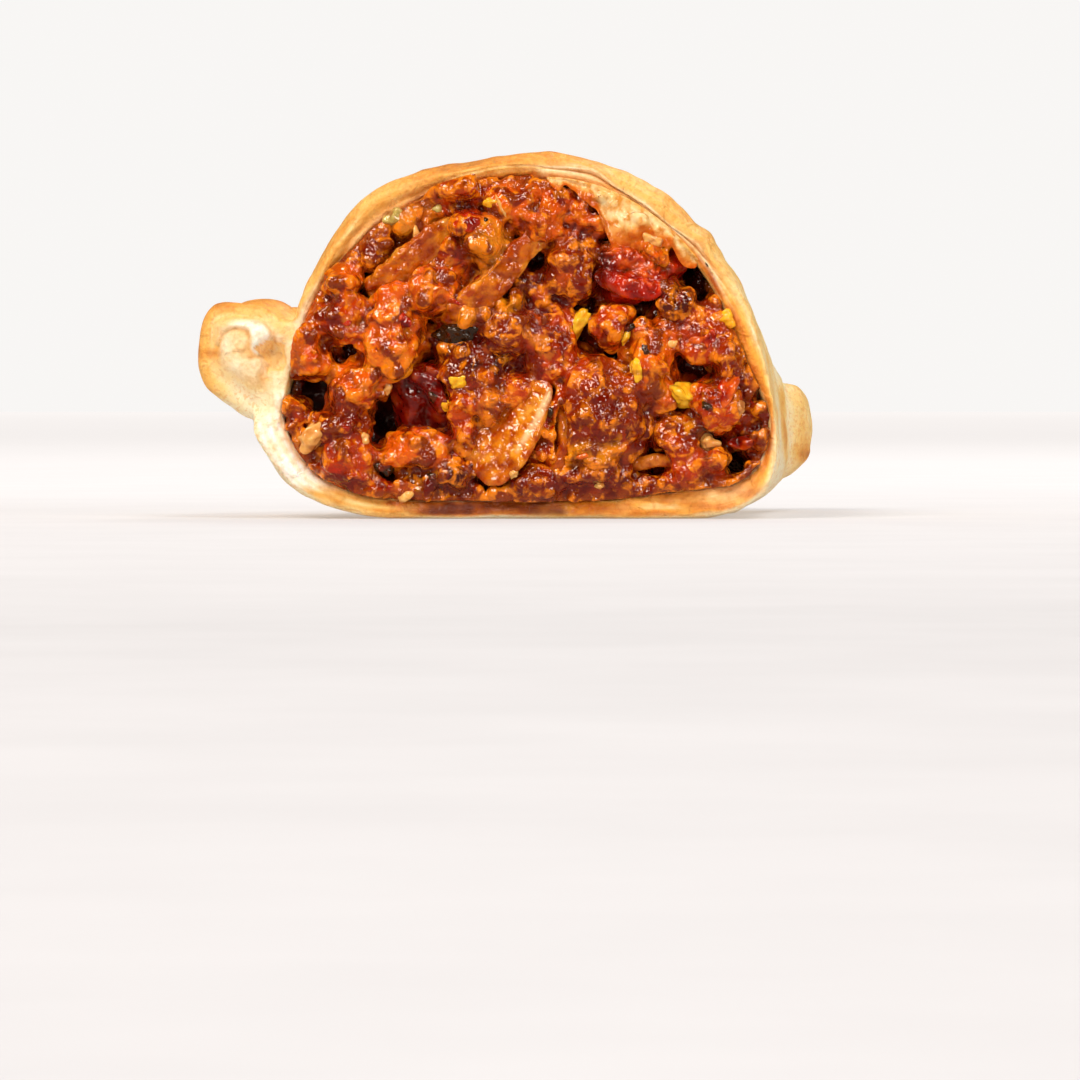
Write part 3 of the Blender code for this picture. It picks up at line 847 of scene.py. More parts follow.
for _ in range(6):
    moved += 0.5 * (knob * near_knuckle)[:, None] * (even_out(moved) - moved)
carved_fold = evened(FOLD_GROOVE * fold_shadow - FOLD_LIFT * fold, 1)
moved[:, 1] += on_cut * carved_fold * near_knuckle
moved[:, 1] = np.maximum(moved[:, 1], 0.0)
moved[:, 2] = np.maximum(moved[:, 2], 0.0)
move_points(crust, moved)
print("cut face reaches", round(moved[on_cut > 0.5, 1].max(), 1), "mm back")

# %% [markdown]
# ## Colours of the dough
#
# An oven browns what is thin, high and near the hot wall. The marks below add that up from 0, raw cream, to
# 1, dark brown: broad clouds, darker crests, pale hollows, a pale underside, and a few spots that stand
# out.


# %% Clouds, crests and hollows
def hollowness(piece, rounds):
    """How far each point lies below its evened-out surroundings, in millimetres; crests are negative."""
    mean = neighbour_mean(piece)
    points, even = points_of(piece), points_of(piece)
    for _ in range(rounds):
        even = mean(even)
    return ((even - points) * normals_of(piece)).sum(axis=1)


HORN_RUN = 16.0  # millimetres of rope that stay pale at its far end
points = points_of(crust)
dip = hollowness(crust, 14)
on_rope = smoothstep(1.5, 0.0, rope_far) * (1 - on_cut)
horn = smoothstep(travelled[-1] - HORN_RUN, travelled[-1] - 2, rope_along) * smoothstep(3, 0, rope_far)
bake = 0.40 + 0.20 * waves(points, 11, 20) + 0.11 * waves(points, 4, 21) + 0.05 * waves(points, 1.4, 22)
bake += 0.06 * on_rope - 0.50 * np.clip(dip, -0.6, 0.6) - 0.26 * horn + 0.10 * knob
bake += 0.14 * smoothstep(24, 34, up) * smoothstep(50, 30, along) - 0.20 * smoothstep(17, 8, up) * (1 - horn)
print("mean bake", round(bake.mean(), 2))

# %% Spots that stand out
# along, up, size and strength, on and near the cut
BROWN_SPOTS = ((0.7, 19.4, 1.3, 0.35), (6.2, 18.9, 0.45, 0.75), (5.2, 19.7, 0.4, 0.5), (2.6, 24.8, 2.0, 0.2))
SPOT_SQUASH = 1.6
BURNT_TIP, BURNT_SIZE = (73.2, 9.4), 1.8
PALE_NECK, NECK_SIZE = (6.0, 12.0), 4.6
HORN_LINE_ALONG, HORN_LINE_WIDE = 70.3, 0.35
bake += 0.50 * spot(along, up, BURNT_TIP, BURNT_SIZE) * smoothstep(30, 40, depth)
bake -= 0.32 * spot(along, up, PALE_NECK, NECK_SIZE) * smoothstep(7.0, 3.0, depth)
for spot_along, spot_up, size, strength in BROWN_SPOTS:
    browned = spot(along, up, (spot_along, spot_up), size, SPOT_SQUASH)
    bake += strength * browned * smoothstep(5.0, 3.0, depth)
# where the folded side meets the horn it casts painted shade: a thin line along the fold is painted darker,
# and the folded side just before it is painted paler
off_line = along - HORN_LINE_ALONG + 0.10 * (up - 12)
horn_fold_shade = np.exp(-((off_line / HORN_LINE_WIDE) ** 2)) * smoothstep(20, 30, depth)
horn_fold_shade *= smoothstep(6, 9, up) * smoothstep(19, 16, up) * smoothstep(0.2, -0.2, normals_of(crust)[:, 1])
before_line = smoothstep(70.3, 69.6, along) * smoothstep(60, 66, along) * smoothstep(15, 25, depth)
bake += 0.35 * horn_fold_shade - 0.14 * before_line
print("with its spots the bake reaches", round(bake.max(), 2))


# %% [markdown]
# Cut dough is cream where it is thick, gold under the egged skin and amber where sauce and fat have soaked
# in. On the right the wall is thin and soaked through, below it is brown with juice. Each of these is a
# soft mask made from the distances above, and the masks are laid over each other like glazes.

# %% Ground colours of the cut
def ramp(value, stops):
    """Linear-light colours between (value, hex) stops, one row for each number."""
    hues = np.array([linear(colour)[:3] for _, colour in stops])
    return np.column_stack([np.interp(value, [stop[0] for stop in stops], hue) for hue in hues.T])


def mix(first, second, share):
    """Rows of colour, share of the way from the first to the second, which may be one hex colour."""
    second = linear(second)[:3] if isinstance(second, str) else second
    return first + (np.asarray(second) - first) * np.asarray(share)[:, None]


base_strip = smoothstep(4.4, 2.8, up)
left_side = smoothstep(30, 20, along) * smoothstep(30, 22, up)
right_side = smoothstep(56, 64, along) * smoothstep(30, 22, up)
layered = 0.5 + 0.30 * laminate + 0.35 * waves(points, 1.6, 26) + 0.3 * waves(points, 6, 27)
pale = ramp(layered, ((0.0, "#fde4b8"), (0.5, "#fff0d2"), (1.0, "#fffaf0")))
golden = ramp(layered, ((0.0, "#e89c3a"), (0.5, "#f5c066"), (1.0, "#fbdc98")))
cut_tint = mix(golden, pale, np.maximum(left_side * (1 - base_strip), 0.45 * roof))
egged_edge = smoothstep(0.7, 0.15, skin_depth + 0.3 * waves(points, 2.4, 35)) * (1 - 0.6 * left_side)
cut_tint = mix(cut_tint, "#e8a03c", 0.8 * egged_edge)
across_wall = smoothstep(0.0, 2.3, skin_depth + 0.4 * waves(points, 2.6, 36))
right_tint = ramp(across_wall, ((0.0, "#ffe8b8"), (0.22, "#fed07c"), (0.45, "#feb23a"), (1.0, "#f69620")))
cut_tint = mix(cut_tint, right_tint, 0.9 * right_side)
print("share under the egged skin:", round(egged_edge[on_cut > 0.5].mean(), 2))

# %% Fat, creases and stains
amber_reach = 0.9 + 0.7 * waves(points, 5, 28) - 0.3 * right_side - 0.6 * left_side
amber = smoothstep(amber_reach + 0.6, amber_reach - 0.6, fill_depth)
cut_tint = mix(cut_tint, "#ea942a", 0.75 * amber)
under_crease = left_dome * smoothstep(0.1, 0.6, skin_depth - left_crease_at)
cut_tint = mix(cut_tint, "#fce2ac", 0.6 * under_crease)
# painted shade: where the layers part, the crease is painted darker brown as well as carved
cut_tint = mix(cut_tint, "#d88a2c", 0.8 * np.clip(crease + 0.8 * left_crease, 0, 1))
wet_reach = 0.35 + 0.5 * waves(points, 4.5, 23) + 0.35 * waves(points, 1.8, 24)
wet_reach += 1.5 * base_strip * smoothstep(20, 26, along) * smoothstep(52, 44, along) - 0.4 * left_side
wet_reach += 0.3 * right_side * smoothstep(3, 8, up) + 0.5 * roof * smoothstep(50, 60, along)
stain = smoothstep(wet_reach + 0.5, wet_reach - 0.5, fill_depth) * (1 - knob)
stain_tint = ramp(0.5 + 0.5 * waves(points, 1.3, 29), ((0.1, "#b84c0a"), (0.5, "#dc7816"), (0.9, "#f4a838")))
cut_tint = mix(cut_tint, stain_tint, 0.9 * stain)
print("stained share of the cut:", round(stain[on_cut > 0.5].mean(), 2))

# %% Juice in the base
# streaks are 6 mm long, 1.5 mm deep and 0.7 mm high, as the base's layers are
STREAK_SIZE = (6.0, 1.5, 0.7)
PALE_PATCH, PATCH_SIZE, PATCH_SQUASH = (62.0, 2.9), 3.2, 2.0
soak_ends = along + 3.0 * waves(points, 4.0, 34)
soak = base_strip * smoothstep(20, 30, soak_ends) * smoothstep(49, 39, soak_ends)
soak *= smoothstep(-0.1, 0.5, skin_depth)
streaks = 0.5 + 0.6 * waves(points / STREAK_SIZE, 1.0, 30) + 0.3 * waves(points, 1.1, 31)
soak_tint = ramp(streaks, ((0.1, "#702c06"), (0.45, "#a8500c"), (0.7, "#c6741c"), (1.0, "#dca048")))
cut_tint = mix(cut_tint, soak_tint, soak)
juicy = base_strip * smoothstep(42, 49, soak_ends) * smoothstep(0.0, 0.5, skin_depth)
juicy_tint = ramp(streaks, ((0.0, "#d06a0e"), (0.4, "#ec8e20"), (0.7, "#f8ae44"), (1.0, "#fcd088")))
cut_tint = mix(cut_tint, juicy_tint, 0.85 * juicy)
pale_patch = spot(along, up, PALE_PATCH, PATCH_SIZE, PATCH_SQUASH)
cut_tint = mix(cut_tint, "#f6d09c", 0.5 * pale_patch)
print("soaked share of the base:", round(soak[base_strip > 0.5].mean(), 2))

# %% [markdown]
# The end of the rope is a knuckle of rolled dough. Its curled edge is nearly white, pale dough with a painted
# highlight on its raised lip and painted shade in the groove beside it; its core is tan and clear with fat,
# and the skin round it golden. The rest of the soft patches differ from one empanada to the next.

# %% Colours of the rope's cut end
# soft patches: along, up, size, strength and colour
KNOB_PATCHES = (
    (8.3, 18.5, 1.5, 0.65, "#dcae70"),
    (7.6, 16.4, 1.2, 0.70, "#f2b04c"),
    (5.6, 19.4, 0.9, 0.70, "#f0a840"),
    (10.2, 21.8, 0.7, 0.60, "#f0bc94"),
    (3.8, 16.4, 2.2, 0.60, "#fff2d6"),
    (0.7, 19.4, 1.4, 0.60, "#eeb066"),
)
CORE_MIDDLE, CORE_SIZE = (4.3, 21.5), 1.6
knob_layers = 0.5 + 0.5 * waves(points, 2.2, 32) + 0.2 * waves(points, 0.9, 33)
knob_tint = ramp(knob_layers, ((0.0, "#f4c47c"), (0.5, "#fae0b0"), (1.0, "#fef2d8")))
outer_band = smoothstep(23.2, 24.4, up - 0.06 * (along - 5) ** 2 + 0.3 * waves(points, 1.5, 37))
knob_tint = mix(knob_tint, "#f0b04c", 0.75 * outer_band)
knob_tint = mix(knob_tint, "#f2ca92", 0.8 * spot(along, up, CORE_MIDDLE, CORE_SIZE))
for patch_along, patch_up, size, strength, hue in KNOB_PATCHES:
    knob_tint = mix(knob_tint, hue, strength * spot(along, up, (patch_along, patch_up), size))
# painted highlight: the raised curled edge is painted nearly white over its pale dough, and painted shade
# darkens the groove beside it
knob_tint = mix(knob_tint, "#fff6e4", np.clip(1.2 * fold, 0, 1))
knob_tint = mix(knob_tint, "#e0a85c", 0.6 * fold_shadow)
cut_tint = mix(cut_tint, knob_tint, knob)
print(len(KNOB_PATCHES), "patches on the rope's end")

# %% Spots on the cut
PEPPERCORN, PEPPERCORN_SIZE = (59.9, 30.0), 0.42
for spot_along, spot_up, size, strength in BROWN_SPOTS:
    browned = spot(along, up, (spot_along, spot_up), size, SPOT_SQUASH)
    cut_tint = mix(cut_tint, "#c98424", np.clip(strength * browned, 0, 1))
cut_tint = mix(cut_tint, "#3c2008", smoothstep(0.3, 0.8, spot(along, up, PEPPERCORN, PEPPERCORN_SIZE)))
print(len(BROWN_SPOTS), "brown spots and a peppercorn")


# %% [markdown]
# The finest layers are too thin for the mesh. They are drawn by the material, as noise in a space of its
# own: round the parcel its grain is 4 mm long, and across the wall half a millimetre, as thick as one
# layer.

# %% Marks that the dough's material reads
def paint(piece, name, values):
    """Keeps one number, or one colour, for each point, for the material to read."""
    values = np.asarray(values, np.float32)
    if values.ndim == 1:
        piece.data.attributes.new(name, "FLOAT", "POINT").data.foreach_set("value", values)
    else:
        full = np.column_stack([values, np.ones(len(values), np.float32)]).astype(np.float32)
        piece.data.attributes.new(name, "FLOAT_COLOR", "POINT").data.foreach_set("color", full.ravel())


FACE_CENTRE, FACE_REACH, LEAF_LONG, LEAF_DEEP, LEAF_THICK = (36.0, 17.0), 25.0, 4.0, 3.0, 0.55
turn = np.arctan2(up - FACE_CENTRE[1], along - FACE_CENTRE[0])
leaves = FACE_REACH / LEAF_LONG * np.column_stack([np.cos(turn), np.sin(turn)])
leaves = np.column_stack([leaves, skin_depth / LEAF_THICK + depth / LEAF_DEEP])
paint(crust, "leaves", leaves * (1 - 0.85 * smoothstep(0.0, 0.6, knob))[:, None])
paint(crust, "leafiness", 0.55 - 0.30 * left_side * (1 - base_strip))
paint(crust, "cut", evened(on_cut, 1) * (1 - 0.85 * knob * smoothstep(2.6, 0.8, skin_depth)))
paint(crust, "bake", np.clip(bake, 0, 1))
paint(crust, "cut_tint", cut_tint)
paint(crust, "stain", stain)
print("layers are drawn", LEAF_LONG, "mm long and", LEAF_THICK, "mm thick")

# %% [markdown]
# ### Baked dough
#
# Wheat dough brushed with egg browns in blotches: gold where it is thin or stands proud, cream where it is
# shaded by a fold, with freckles where drops of egg dried. Dough has an IOR of about 1.45; a dry crust has
# a roughness near 0.5 and the egg gives it a soft sheen.

# %% Colour of the crust
dough, tree, surface = new_material("egg_washed_wheat_dough")
here = add(tree, "TexCoord").outputs["Object"]
bake_mark = add(tree, "Attribute", {"attribute_name": "bake"}).outputs["Fac"]
FRECKLE_MM, FRECKLE_SHARE = 0.9, 0.34
freckle = add(tree, "TexNoise", None, {"Vector": here, "Scale": per_mm(FRECKLE_MM), "Detail": 4.0})
blotch = add(tree, "Math", {"operation": "MULTIPLY_ADD"}, {0: freckle, 1: FRECKLE_SHARE, 2: bake_mark})
blotch = add(tree, "Math", {"operation": "SUBTRACT"}, {0: blotch, 1: FRECKLE_SHARE / 2})
# from raw through gold to dark brown
BAKED = [(0.08, "#feeac0"), (0.30, "#fcd58c"), (0.48, "#f6bd62"), (0.68, "#e69a3e"), (0.92, "#b0662a")]
crust_colour = add(tree, "ValToRGB", {"stops": BAKED}, {"Fac": blotch})
# small brown specks, where steam has blistered the egg; real ones are as small as 0.2 mm
SPECK_MM = 0.45
speck = add(tree, "TexNoise", None, {"Vector": here, "Scale": per_mm(SPECK_MM), "Detail": 2.0})
speck_tone = add(tree, "ValToRGB", {"stops": [(0.36, "#f0c48c"), (0.50, "#ffffff")]}, {"Fac": speck})
speckled = add(tree, "Mix", GLAZE, {"Factor": 0.6, "A": crust_colour, "B": speck_tone})
print("freckles every", FRECKLE_MM, "mm and specks every", SPECK_MM, "mm")

# %% [markdown]
# Where it is cut, dough is pale, waxy and layered, and the sauce has soaked into its inner edge. The
# painted colour carries all that; the material adds a fine crumb, which real dough has at about 0.3 mm and
# which is drawn coarser to show, and the thin layers.

# %% Colour of the cut
CRUMB_MM = 0.8
cut_mark = add(tree, "Attribute", {"attribute_name": "cut"}).outputs["Fac"]
tint_mark = add(tree, "Attribute", {"attribute_name": "cut_tint"}).outputs["Color"]
crumb = add(tree, "TexNoise", None, {"Vector": here, "Scale": per_mm(CRUMB_MM), "Detail": 4.0})
crumb_tone = add(tree, "ValToRGB", {"stops": [(0.30, "#ecdcc6"), (0.55, "#ffffff")]}, {"Fac": crumb})
cut_colour = add(tree, "Mix", GLAZE, {"Factor": 1.0, "A": tint_mark, "B": crumb_tone})
leaf_space = add(tree, "Attribute", {"attribute_name": "leaves"}).outputs["Vector"]
leaf_share = add(tree, "Attribute", {"attribute_name": "leafiness"}).outputs["Fac"]
leaf_noise = {"Vector": leaf_space, "Scale": 1.0, "Detail": 4.0, "Roughness": 0.65}
leaf = add(tree, "TexNoise", None, leaf_noise)
LEAF_TONES = [(0.32, "#ecc88e"), (0.46, "#faeacc"), (0.56, "#ffffff")]
leaf_tone = add(tree, "ValToRGB", {"stops": LEAF_TONES}, {"Fac": leaf})
leafy = add(tree, "Mix", GLAZE, {"Factor": leaf_share, "A": cut_colour, "B": leaf_tone})
whole = add(tree, "Mix", BLEND, {"Factor": cut_mark, "A": speckled, "B": leafy})
print("crumb every", CRUMB_MM, "mm")

# %% [markdown]
# A baked crust feels like fine leather: a small grain all over, and flat flakes a few millimetres wide
# where the egg has dried in a film. Both are only bumps, one laid on the other, and the cut's layers come
# last.

# %% Grain, flakes and layers
GRAIN_MM, GRAIN_HEIGHT = 0.7, 0.24
FLAKE_MM, FLAKE_HEIGHT = 2.6, 0.10
LEAF_HEIGHT = 0.16
grain = add(tree, "TexNoise", None, {"Vector": here, "Scale": per_mm(GRAIN_MM), "Detail": 5.0})
grain_bump = {"Strength": 1.0, "Distance": GRAIN_HEIGHT * MM, "Height": grain}
grain_bump = add(tree, "Bump", None, grain_bump)
flake = {"Vector": here, "Scale": per_mm(FLAKE_MM), "Detail": 3.0, "Distortion": 0.6}
flake = add(tree, "TexNoise", None, flake)
flaked = {"Value": flake, "From Min": 0.50, "From Max": 0.64, "To Min": 0.0, "To Max": 1.0}
flaked = add(tree, "MapRange", SOFT, flaked)
flake_bump = {"Strength": 1.0, "Distance": FLAKE_HEIGHT * MM, "Height": flaked, "Normal": grain_bump}
flake_bump = add(tree, "Bump", None, flake_bump)
leaf_relief = add(tree, "Math", {"operation": "MULTIPLY"}, {0: leaf, 1: cut_mark})
leaf_bump = {"Strength": 1.0, "Distance": LEAF_HEIGHT * MM, "Height": leaf_relief, "Normal": flake_bump}
leaf_bump = add(tree, "Bump", None, leaf_bump)
print("bumps of", GRAIN_HEIGHT, FLAKE_HEIGHT, "and", LEAF_HEIGHT, "mm")


# %% Dough's surface
def finish_piece(piece, material, nodes=()):
    """Moves a piece into the frame, gives it its material, hangs it on the root and hides the solids it
    replaces.
    """
    piece.data.transform(FACE_TO_FRAME)
    piece.data.shade_smooth()
    piece.data.materials.clear()
    piece.data.materials.append(material)
    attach(piece, "root")
    if nodes:
        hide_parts(*nodes)
    print(f"{piece.name}: {triangles_of(piece)} triangles")


stain_mark = add(tree, "Attribute", {"attribute_name": "stain"}).outputs["Fac"]
gloss = {"Value": stain_mark, "From Min": 0.0, "From Max": 1.0, "To Min": 0.48, "To Max": 0.26}
gloss = add(tree, "MapRange", None, gloss)
fill(surface, {"Base Color": whole, "Roughness": gloss, "Normal": leaf_bump})
fill(surface, {"IOR": 1.45, "Specular IOR Level": 0.35, "Coat Weight": 0.12, "Coat Roughness": 0.3})
# light goes a millimetre into dough and comes out warmer
surface_glow = {"Subsurface Weight": 0.25, "Subsurface Radius": (1.0, 0.65, 0.35)}
fill(surface, {**surface_glow, "Subsurface Scale": 1.1 * MM})
finish_piece(crust, dough, ["crust"])

# %% [markdown]
# ## The filling
#
# Chopped pork, cooked in a thick red sauce, breaks into lumps of every size: a few as wide as a fingernail
# and hundreds of crumbs. The lumps that a looker would remember are listed one by one, each written as a cook
# would describe it; a rule with a fixed seed strews crumbs over them. A voxel remesh then melts everything
# into one wet skin, as the sauce does. The tones are those of the meat under its film of sauce.

# %% The lumps that stand out
# tone, then millimetres along, up, wide and high, tilt in degrees, and how far it stands out of the cut
LUMPS = (
    ("rust", 30.1, 37.6, 8.6, 5.0, 5, 0.6),
    ("tan", 25.4, 35.4, 5.4, 6.0, -10, 1.0),
    ("tan", 33.4, 32.6, 5.4, 5.0, 0, 2.4),
    ("red", 31.6, 34.6, 3.6, 3.0, 0, 2.2),
    ("orange", 37.3, 36.6, 6.6, 5.6, 0, 1.2),
    ("orange", 40.7, 34.2, 5.4, 6.4, 0, 2.0),
    ("orange", 45.9, 35.0, 7.2, 4.6, -15, 0.4),
    ("orange", 52.6, 32.2, 6.6, 4.0, -38, 0.0),
    ("orange", 27.3, 26.9, 7.2, 5.4, 10, 2.6),
    ("tan", 31.6, 24.2, 4.2, 2.8, 20, 2.2),
    ("tan", 35.1, 29.4, 7.0, 2.6, 37, 2.0),
    ("dark", 40.1, 26.9, 10.5, 6.2, 15, -0.6),
    ("brown", 44.2, 29.4, 6.2, 8.4, 10, 1.0),
    ("dark", 55.6, 25.6, 4.6, 7.0, 15, -0.4),
    ("orange", 17.0, 27.4, 5.6, 4.6, 0, 1.4),
    ("rust", 16.4, 23.6, 7.4, 6.2, 0, 1.6),
    ("orange", 13.3, 20.4, 5.6, 6.4, 0, 1.5),
    ("orange", 23.0, 21.9, 7.4, 11.2, -12, 3.0),
    ("dark", 33.3, 17.9, 9.6, 7.6, 0, 0.9),
    ("brown", 37.3, 22.4, 8.8, 7.4, 0, 1.2),
    ("rust", 40.9, 20.4, 6.2, 9.0, 0, 1.9),
    ("rust", 48.6, 22.6, 4.8, 4.8, 0, 1.2),
    ("orange", 53.0, 18.2, 7.6, 9.6, 0, 2.2),
    ("brown", 47.4, 11.9, 11.4, 12.0, 0, 2.4),
    ("rust", 59.2, 21.2, 6.6, 6.6, 0, 0.8),
    ("brown", 62.2, 18.4, 4.2, 7.0, 0, 0.9),
    ("rust", 60.8, 13.4, 6.4, 6.8, 0, 1.1),
    ("brown", 56.6, 9.8, 6.0, 5.4, 0, 1.2),
    ("rust", 58.0, 6.2, 7.0, 4.6, 0, 1.6),
    ("rust", 41.3, 10.6, 4.4, 10.6, -10, 1.7),
    ("orange", 19.0, 15.8, 7.4, 6.6, 0, 1.7),
    ("brown", 17.0, 11.2, 6.0, 5.2, 0, 1.4),
    ("rust", 18.0, 6.6, 6.8, 7.0, 0, 1.9),
    ("orange", 25.4, 7.9, 8.2, 5.2, 0, 1.6),
    ("dark", 28.6, 5.0, 10.0, 4.4, 0, 0.9),
    ("brown", 38.6, 4.8, 7.6, 4.2, 0, 1.2),
    ("brown", 46.2, 4.8, 12.4, 4.0, 0, 1.0),
    ("rust", 31.0, 9.2, 5.5, 4.5, 30, 1.2),
    ("rust", 36.5, 15.0, 5.5, 4.5, 0, 1.4),
    ("rust", 44.5, 17.0, 5.0, 5.0, 0, 0.6),
    ("brown", 21.5, 31.0, 5.5, 4.5, 30, 0.4),
    ("rust", 29.5, 30.5, 6.0, 5.0, 30, 0.8),
    ("rust", 31.6, 13.4, 6.4, 5.2, 40, 1.6),
    ("brown", 29.8, 16.8, 4.4, 4.0, 0, 1.3),
    ("rust", 42.4, 36.8, 4.2, 3.4, 0, 0.6),
    ("tan", 34.6, 13.2, 4.0, 6.0, -40, 1.7),
    ("gold", 23.4, 17.9, 4.2, 3.4, 10, 3.1),
    ("gold", 46.0, 7.7, 7.6, 3.0, 8, 3.0),
    ("gold", 36.6, 25.2, 3.2, 2.4, 20, 1.8),
)
TONES = {
    "orange": "#dc5604",
    "tan": "#da7c1a",
    "rust": "#b23002",
    "brown": "#7e1e02",
    "dark": "#420801",
    "red": "#b41a06",
    "gold": "#f49410",
}
print(len(LUMPS), "lumps placed by hand")

# %% [markdown]
# The filling was loose when it was cut, so it is full of holes, and they are what gives it depth. Nothing
# is put where a hole is, and the hidden core behind is bored out as well, so light is really lost in them.

# %% The dark hollows between them
# millimetres along, up, wide and high, tilt in degrees, and how deep each goes
HOLES = (
    (22.7, 11.6, 5.4, 4.8, 0, 13.0),
    (13.9, 14.7, 4.2, 3.2, -20, 11.0),
    (19.6, 24.6, 1.4, 6.0, 8, 7.0),
    (21.0, 19.6, 1.5, 5.0, 28, 7.0),
    (57.6, 27.8, 3.2, 6.6, 24, 8.0),
    (47.6, 19.9, 3.2, 5.2, 32, 10.0),
    (51.6, 23.0, 1.8, 1.8, 0, 7.0),
    (63.4, 6.3, 3.4, 2.4, -10, 8.0),
    (54.2, 6.9, 7.0, 1.5, 0, 8.0),
    (27.8, 8.9, 3.6, 1.4, 10, 8.0),
    (14.8, 8.6, 1.8, 1.6, 0, 7.0),
    (43.6, 24.2, 1.6, 5.0, -8, 7.0),
)

# %% [markdown]
# No scrap of meat is round. A sphere pulled towards a box or a diamond, with waves of two sizes on it,
# makes a different scrap for each seed at the cost of a few points.

# %% Balls to build with
balls = {}
for detail in (2, 3, 4):
    mesh = bmesh.new()
    bmesh.ops.create_icosphere(mesh, subdivisions=detail, radius=1.0)
    mesh.verts.ensure_lookup_table()
    balls[detail] = (
        np.array([v.co for v in mesh.verts]),
        np.array([[v.index for v in f.verts] for f in mesh.faces]),
    )
    mesh.free()
print("balls of", [len(faces) for _, faces in balls.values()], "faces")


# %% Lumps from balls
def turned(x, z, tilt):
    """Places in the cut turned by so many degrees, from along towards up."""
    turn = math.radians(tilt)
    return x * math.cos(turn) - z * math.sin(turn), x * math.sin(turn) + z * math.cos(turn)


def lump(middle, size, tilt=0.0, detail=3, rough=0.16, salt=0, power=2.3):
    """Points and faces of one roughened, squarish ball, tilted in the plane of the cut."""
    ball, faces = balls[detail]
    reach = (np.abs(ball) ** power).sum(axis=1) ** (-1 / power)
    seen = ball + np.asarray(middle) * 0.7
    reach *= 1 + rough * 1.5 * waves(seen, 0.9, salt) + rough * 0.6 * waves(seen, 0.4, salt + 1)
    shaped = ball * reach[:, None] * np.asarray(size) / 2
    x, z = turned(shaped[:, 0], shaped[:, 2], tilt)
    return np.column_stack([x, shaped[:, 1], z]) + middle, faces


def gather(name, shapes):
    """One object out of many (points, faces) pairs."""
    points, faces, start = [], [], 0
    for shape_points, shape_faces in shapes:
        points.append(shape_points)
        faces.append(shape_faces + start)
        start += len(shape_points)
    return mesh_object(name, np.vstack(points), np.vstack(faces))


# %% [markdown]
# Behind the listed lumps lie middling ones at random, and a row follows the wall all the way round,
# so that the filling sits tight in the dough as it does when it is wrapped. Along the base the sauce has
# set.

# %% Lumps placed one by one
HAND_SWELL, HAND_PROUD = 1.04, 0.4  # share and millimetres, which evening takes off again
LUMP_DEPTH, DEPTH_SHARE = 9.0, 1.6
solids = []  # along, up, wide, high, tilt, how deep the front lies, and the depth
shapes = []  # points and faces of each


def add_solid(x, z, wide, high, tilt, front, detail, rough):
    """Adds one lump whose front lies at this depth."""
    deep = min(LUMP_DEPTH, DEPTH_SHARE * max(wide, high))
    solids.append((x, z, wide, high, tilt, front, deep))
    shapes.append(lump((x, front + deep / 2, z), (wide, deep, high), tilt, detail, rough, len(solids)))


for _, x, z, wide, high, tilt, proud in LUMPS:
    add_solid(x, z, wide * HAND_SWELL, high * HAND_SWELL, tilt, -proud - HAND_PROUD, detail=4, rough=0.22)
print("largest lump", max(max(row[3:5]) for row in LUMPS), "mm")


# %% Middling lumps between them
def ellipse_reach(x, z, middle, wide, high, tilt):
    """How far a spot of the cut is from a tilted ellipse's middle: 1 on its edge."""
    u, v = turned(x - middle[0], z - middle[1], -tilt)
    u, v = u / (wide / 2), v / (high / 2)
    return np.sqrt(u * u + v * v)


def in_hole(x, z, margin):
    """Whether a spot lies within a hole that is grown by this share."""
    return any(ellipse_reach(x, z, (hx, hz), hw, hh, ht) < margin for hx, hz, hw, hh, ht, _ in HOLES)


def inside(outline, x, z):
    """Whether a spot of the cut lies inside a closed outline."""
    following = np.roll(outline, -1, axis=0)
    crossed = (outline[:, 1] > z) != (following[:, 1] > z)
    with np.errstate(divide="ignore", invalid="ignore"):
        slope = (following - outline)[:, 0] / (following - outline)[:, 1]
        at = outline[:, 0] + (z - outline[:, 1]) * slope
    return bool((crossed & (x < at)).sum() % 2)


MIDDLING, ROOM_ROUND_HOLES = 150, 1.5
rim = inner_outline(0.0, gap=0.9)
low, high = rim.min(axis=0), rim.max(axis=0)
missing = MIDDLING
while missing:
    x, z = rng.uniform(low[0], high[0]), rng.uniform(low[1], high[1])
    wide, high_share, tilt = rng.uniform(2.4, 4.8), rng.uniform(0.6, 1.0), rng.uniform(0, 180)
    front = rng.uniform(0.9, 3.0)
    rng.random()  # an unused draw: without it all that follows would fall elsewhere
    if inside(rim, x, z) and not in_hole(x, z, ROOM_ROUND_HOLES):
        add_solid(x, z, wide, wide * high_share, tilt, front, detail=3, rough=0.25)
        missing -= 1
print(len(solids), "lumps with the middling ones")

# %% A row along the wall
RIM_STEP, RIM_ROOM = 2.3, 1.3
LOW_DOWN, LOW_PROUD = 5.5, 0.7  # near the base the row stands further forward
rim_steps = np.linalg.norm(np.diff(rim, axis=0, append=rim[:1]), axis=1)
rim_travel = np.concatenate([[0], np.cumsum(rim_steps)])
for distance in np.arange(0, rim_travel[-1], RIM_STEP):
    x, z = rim[min(int(np.searchsorted(rim_travel, distance)), len(rim) - 1)]
    wide, high_share, tilt = rng.uniform(2.6, 4.2), rng.uniform(0.7, 1.0), rng.uniform(0, 180)
    front = rng.uniform(-0.4, 0.8) - LOW_PROUD * (z < LOW_DOWN)
    if not in_hole(x, z, RIM_ROOM):
        add_solid(x, z, wide, wide * high_share, tilt, front, detail=3, rough=0.25)
solid_rows = np.array(solids)
print(len(solids), "lumps with the row along the wall")

